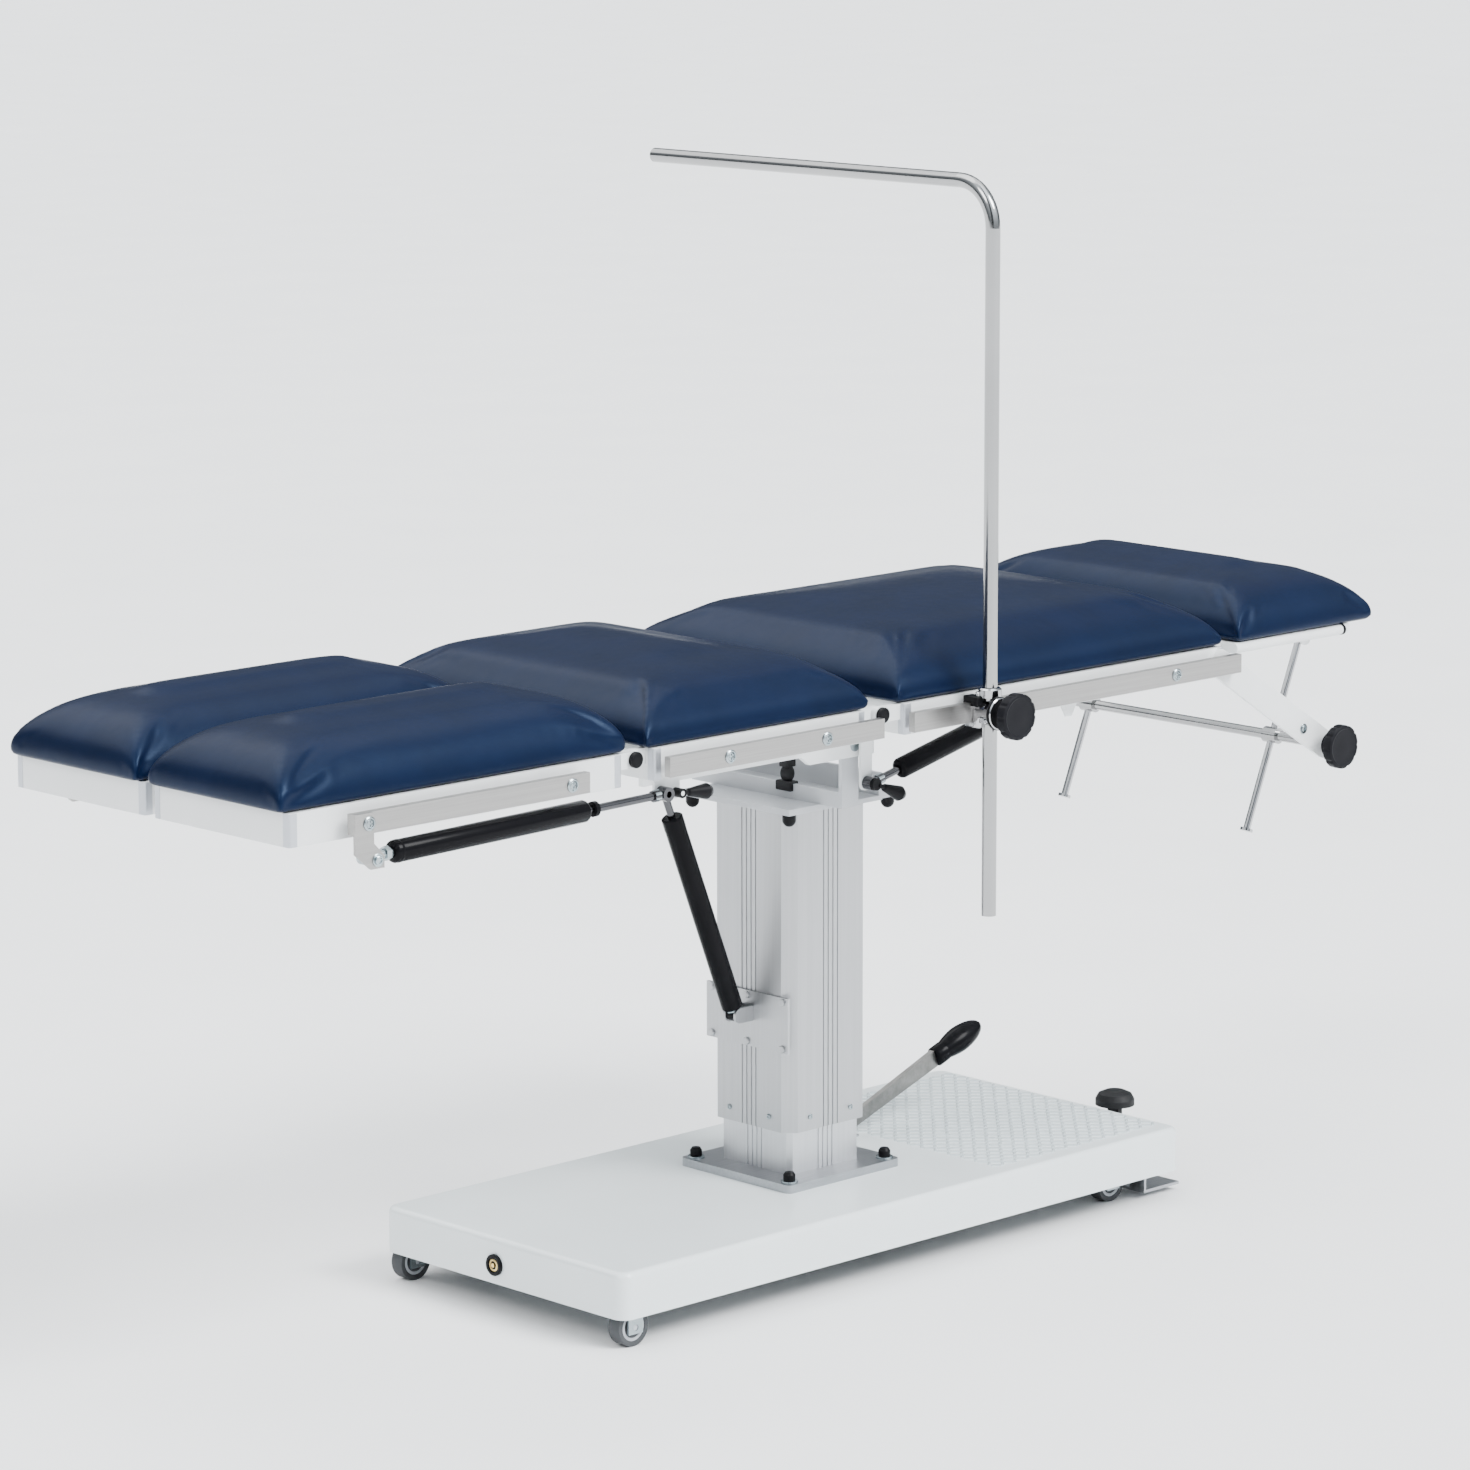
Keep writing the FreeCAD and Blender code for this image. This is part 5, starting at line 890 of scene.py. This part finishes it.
WHEEL_RADIUS = 25 * MM
# where each castor's wheel stands: X off the column's axis and Y, in mm
WHEELS = {"front_wheel_near": (-484, -206), "front_wheel_far": (-484, 206),
          "rear_wheel_near": (438, -166), "rear_wheel_far": (438, 166)}


def make_wheels():
    """Tyre with a rounded tread and a lighter hub disc with a raised cap, for each castor."""
    for node, (across, side) in WHEELS.items():
        x, y, z = from_column(across), side * MM, WHEEL_RADIUS
        tyre = cylinder(node + "_tyre", WHEEL_RADIUS, (x, y - 10 * MM, z), (x, y + 10 * MM, z), 56)
        edit(tyre)
        choose_faces(tyre, lambda centre, normal: abs(normal.y) > 0.9)
        inset_in_steps([(1.6, 0), (4.8, 0), (0.6, -1.4)])
        leave(tyre)
        round_all(tyre, 3 * MM, 4, 60)
        dress(tyre, TYRE, node)
        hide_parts(node)
        halves = [stepped("hub", 18.2, (x, y, z), (x, y + sign * 8.8 * MM, z),
                          [(1, 0.5), (2.4, 0), (1.4, -1.2), (5, 0), (1.2, 1.6), (1.4, 0.7), (2.4, 0.3)], 48)
                  for sign in (-1, 1)]
        axle = stepped("axle", 3.9, (x, y - 12.8 * MM, z), (x, y + 12.8 * MM, z), [(0.5, 0.1)], 24)
        dress(join(node + "_hub", halves + [axle]), HUB, node)


TREAD_ROWS = 32
TREAD_COLUMNS = 26
TREAD_PITCH = 12.4
TREAD_X = 193
TREAD_Y = -192


def make_tread():
    """Raised lozenges of the standing area on the tray's head end."""
    bump = cube("lozenge", (-6.6 * MM, -2.2 * MM, -0.4 * MM), (6.6 * MM, 2.2 * MM, 0.3 * MM))
    edit(bump)
    choose_faces(bump, lambda centre, normal: normal.z > 0.9)
    inset_in_steps([(1.1, 1.3)])
    leave(bump)
    bumps = []
    for row in range(TREAD_ROWS):
        for column in range(TREAD_COLUMNS):
            x, y = TREAD_X + column * TREAD_PITCH, TREAD_Y + row * TREAD_PITCH
            turn = 45 if (row + column) % 2 else -45
            bumps.append(at_place(bump, (from_column(x), y * MM, TRAY_TOP), turn))
    discard(bump)
    dress(join("tray_tread", bumps), TREAD_PAINT, "base")


def make_earth_socket():
    """Black stepped ring with a brass contact and its pin, on the tray's leg-end face."""
    x, y, z = place_of(-512, 10, 64)
    ring = stepped("earth_ring_black", 14, (x + 1 * MM, y, z), (x - 3.6 * MM, y, z),
                   [(1.2, 1.2), (3.2, 0), (0.8, -2.2), (2.6, 0)], 48)
    dress(ring, BLACK_PLASTIC, "base")
    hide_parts("earth_socket")
    contact = stepped("earth_contact", 8, (x, y, z), (x - 3.2 * MM, y, z),
                      [(1.4, 0.5), (1, 0), (0.6, -1.8), (1.0, 0)], 40)
    pin = stepped("earth_pin", 3, (x, y, z), (x - 4.6 * MM, y, z), [(0.5, 0.4)], 24)
    dress(join("earth_contact", [contact, pin]), BRASS, "base")


def make_head_end_caps():
    """Black caps in the ends of the head section's two side tubes."""
    inner, outer, across, height = 811, 816, 249, 751.5
    caps = [stepped("tube_cap", 7.5, place_of(inner, sign * across, height),
                    place_of(outer, sign * across, height), [(1.4, 1.2), (2, 0.4)], 32)
            for _, sign in SIDES]
    dress(join("head_tube_caps", caps), BLACK_PLASTIC, "head")


PUMP_SLOPE = math.radians(20.6)
PUMP_HINGE = (150, 50, 114)
GRIP_REACH = 236 * MM
GRIP_SHOULDER = 24 * MM


def make_pump_grip():
    """Egg-shaped grip of the pump lever, fuller towards its end."""
    along = Vector((math.cos(PUMP_SLOPE), 0, math.sin(PUMP_SLOPE)))
    middle = Vector(place_of(*PUMP_HINGE)) + along * GRIP_REACH
    bpy.ops.mesh.primitive_uv_sphere_add(segments=40, ring_count=24, radius=1, location=middle,
                                         rotation=(0, math.pi / 2 - PUMP_SLOPE, 0),
                                         scale=(17.5 * MM, 18.5 * MM, 46 * MM))
    grip = settle(bpy.context.object)
    grip.name = "pump_grip_oval"
    edit(grip)
    choose_faces(grip, lambda centre, normal: (centre - middle).dot(along) < -GRIP_SHOULDER)
    bpy.ops.transform.resize(value=(0.92, 0.92, 0.92), center_override=middle - along * GRIP_SHOULDER,
                             use_proportional_edit=True, proportional_size=0.03)
    leave(grip)
    neck = stepped("neck", 14, middle - along * (30 * MM), middle - along * (46 * MM), [(2, 3)], 36)
    dress(join("pump_grip_oval", [grip, neck]), SPRING_PAINT, "pump", 60)
    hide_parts("pump_grip")


ROUNDED_END = [(0.9, 2.2), (2.0, 1.6), (3.0, 1.0)]


def make_spring_tube(name, start, along, mouth, body, neck_length):
    """A gas spring's black tube with rounded ends, and its zinc-plated eye on a threaded neck."""
    first, last = start + along * neck_length * MM, mouth - along * 1.5 * MM
    tube = stepped("tube", 13.6, first + along * 5 * MM, last - along * 5 * MM,
                   ROUNDED_END + [(1.8, 0.2)], 56)
    edit(tube)
    end_zone = first.dot(along) + 6 * MM
    choose_faces(tube, lambda centre, normal: normal.dot(along) < -0.9 and centre.dot(along) < end_zone)
    inset_in_steps(ROUNDED_END + [(1.2, 0.2)])
    leave(tube)
    groove = stepped("groove_band", 13.9, first + along * 9 * MM, first + along * 12 * MM,
                     [(0.5, 0.2)], 56)
    dress(join(name + "_tube", [tube, groove]), SPRING_PAINT, body, 50)
    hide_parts(body)
    across = Vector((0, 1, 0))
    eye = stepped("eye", 9, start - across * 7.3 * MM, start + across * 7.3 * MM, [(1.2, 0.6)], 40)
    neck = stepped("neck", 6, start + along * 5 * MM, first + along * 3 * MM, [(0.5, 0.2)], 32)
    nut = stepped("lock_nut", 9, first - along * 11 * MM, first - along * 4 * MM, [(0.8, 0.5)], 6)
    dress(join(name + "_eye", [eye, neck, nut]), ZINC, body)


def make_spring(name, y, start, end, bodies, showing, parts=(), neck_length=37):
    """One gas spring: a tube with its eye, or a fork and a collar on the source's tube, and the rod's nut."""
    start = Vector(place_of(start[0], y, start[1]))
    end = Vector(place_of(end[0], y, end[1]))
    along = (end - start).normalized()
    mouth = start + along * ((end - start).length - showing * MM)
    tube_body, rod_body = bodies
    if "eye" in parts:
        make_spring_tube(name, start, along, mouth, tube_body, neck_length)
        pieces = []
    else:
        fork = stepped("fork", 9.6, start + along * 7.4 * MM, start + along * 15 * MM,
                       [(0.8, 0.5), (1.6, 3.2)], 6)
        dress(join(name + "_fork_end", [fork]), ZINC, tube_body)
        pieces = [stepped("collar", 14.25, mouth - along * 17 * MM, mouth - along * 1.6 * MM,
                          [(0.8, 0.6)], 40)]
    nut = stepped("rod_nut", 7.8, end - along * 20 * MM, end - along * 11 * MM, [(0.7, 0.4)], 6)
    dress(join(name + "_rod_nut", [nut]), ZINC, rod_body)
    if "ring" in parts:
        pieces.append(stepped("stop_ring", 9.5, mouth + along * 8 * MM, mouth + along * 14 * MM,
                              [(1.6, 1.2)], 32))
    if pieces:
        dress(join(name + "_collar", pieces), SPRING_PAINT, tube_body)


def make_springs():
    """Each spring by its ends, X off the column's axis and Z, and how much of its rod shows, in mm."""
    make_spring("tilt_spring", 0, (-101, 321), (-235, 656), ("tilt_cylinder", "tilt_rod"), 60.8)
    for side, sign in SIDES:
        make_spring(f"leg_spring_{side}", sign * 262, (-943, 693), (-470, 702),
                    (f"leg_cylinder_{side}", f"leg_rod_{side}"), 128.1, ("eye", "ring"))
    make_spring("back_spring", -165, (300, 712), (-17, 639), ("back_cylinder", "back_rod"), 50,
                ("eye",), 24)


make_rail_screws()
make_corner_strips()
make_column_screws()
make_foot_washers()
make_yoke_nut_domes()
make_screws_in_washers()
make_hinge_caps()
make_tilt_buffer()
make_back_tab()
make_knobs()
make_screen_clamp()
make_wheels()
make_tread()
make_earth_socket()
make_head_end_caps()
make_pump_grip()
make_springs()
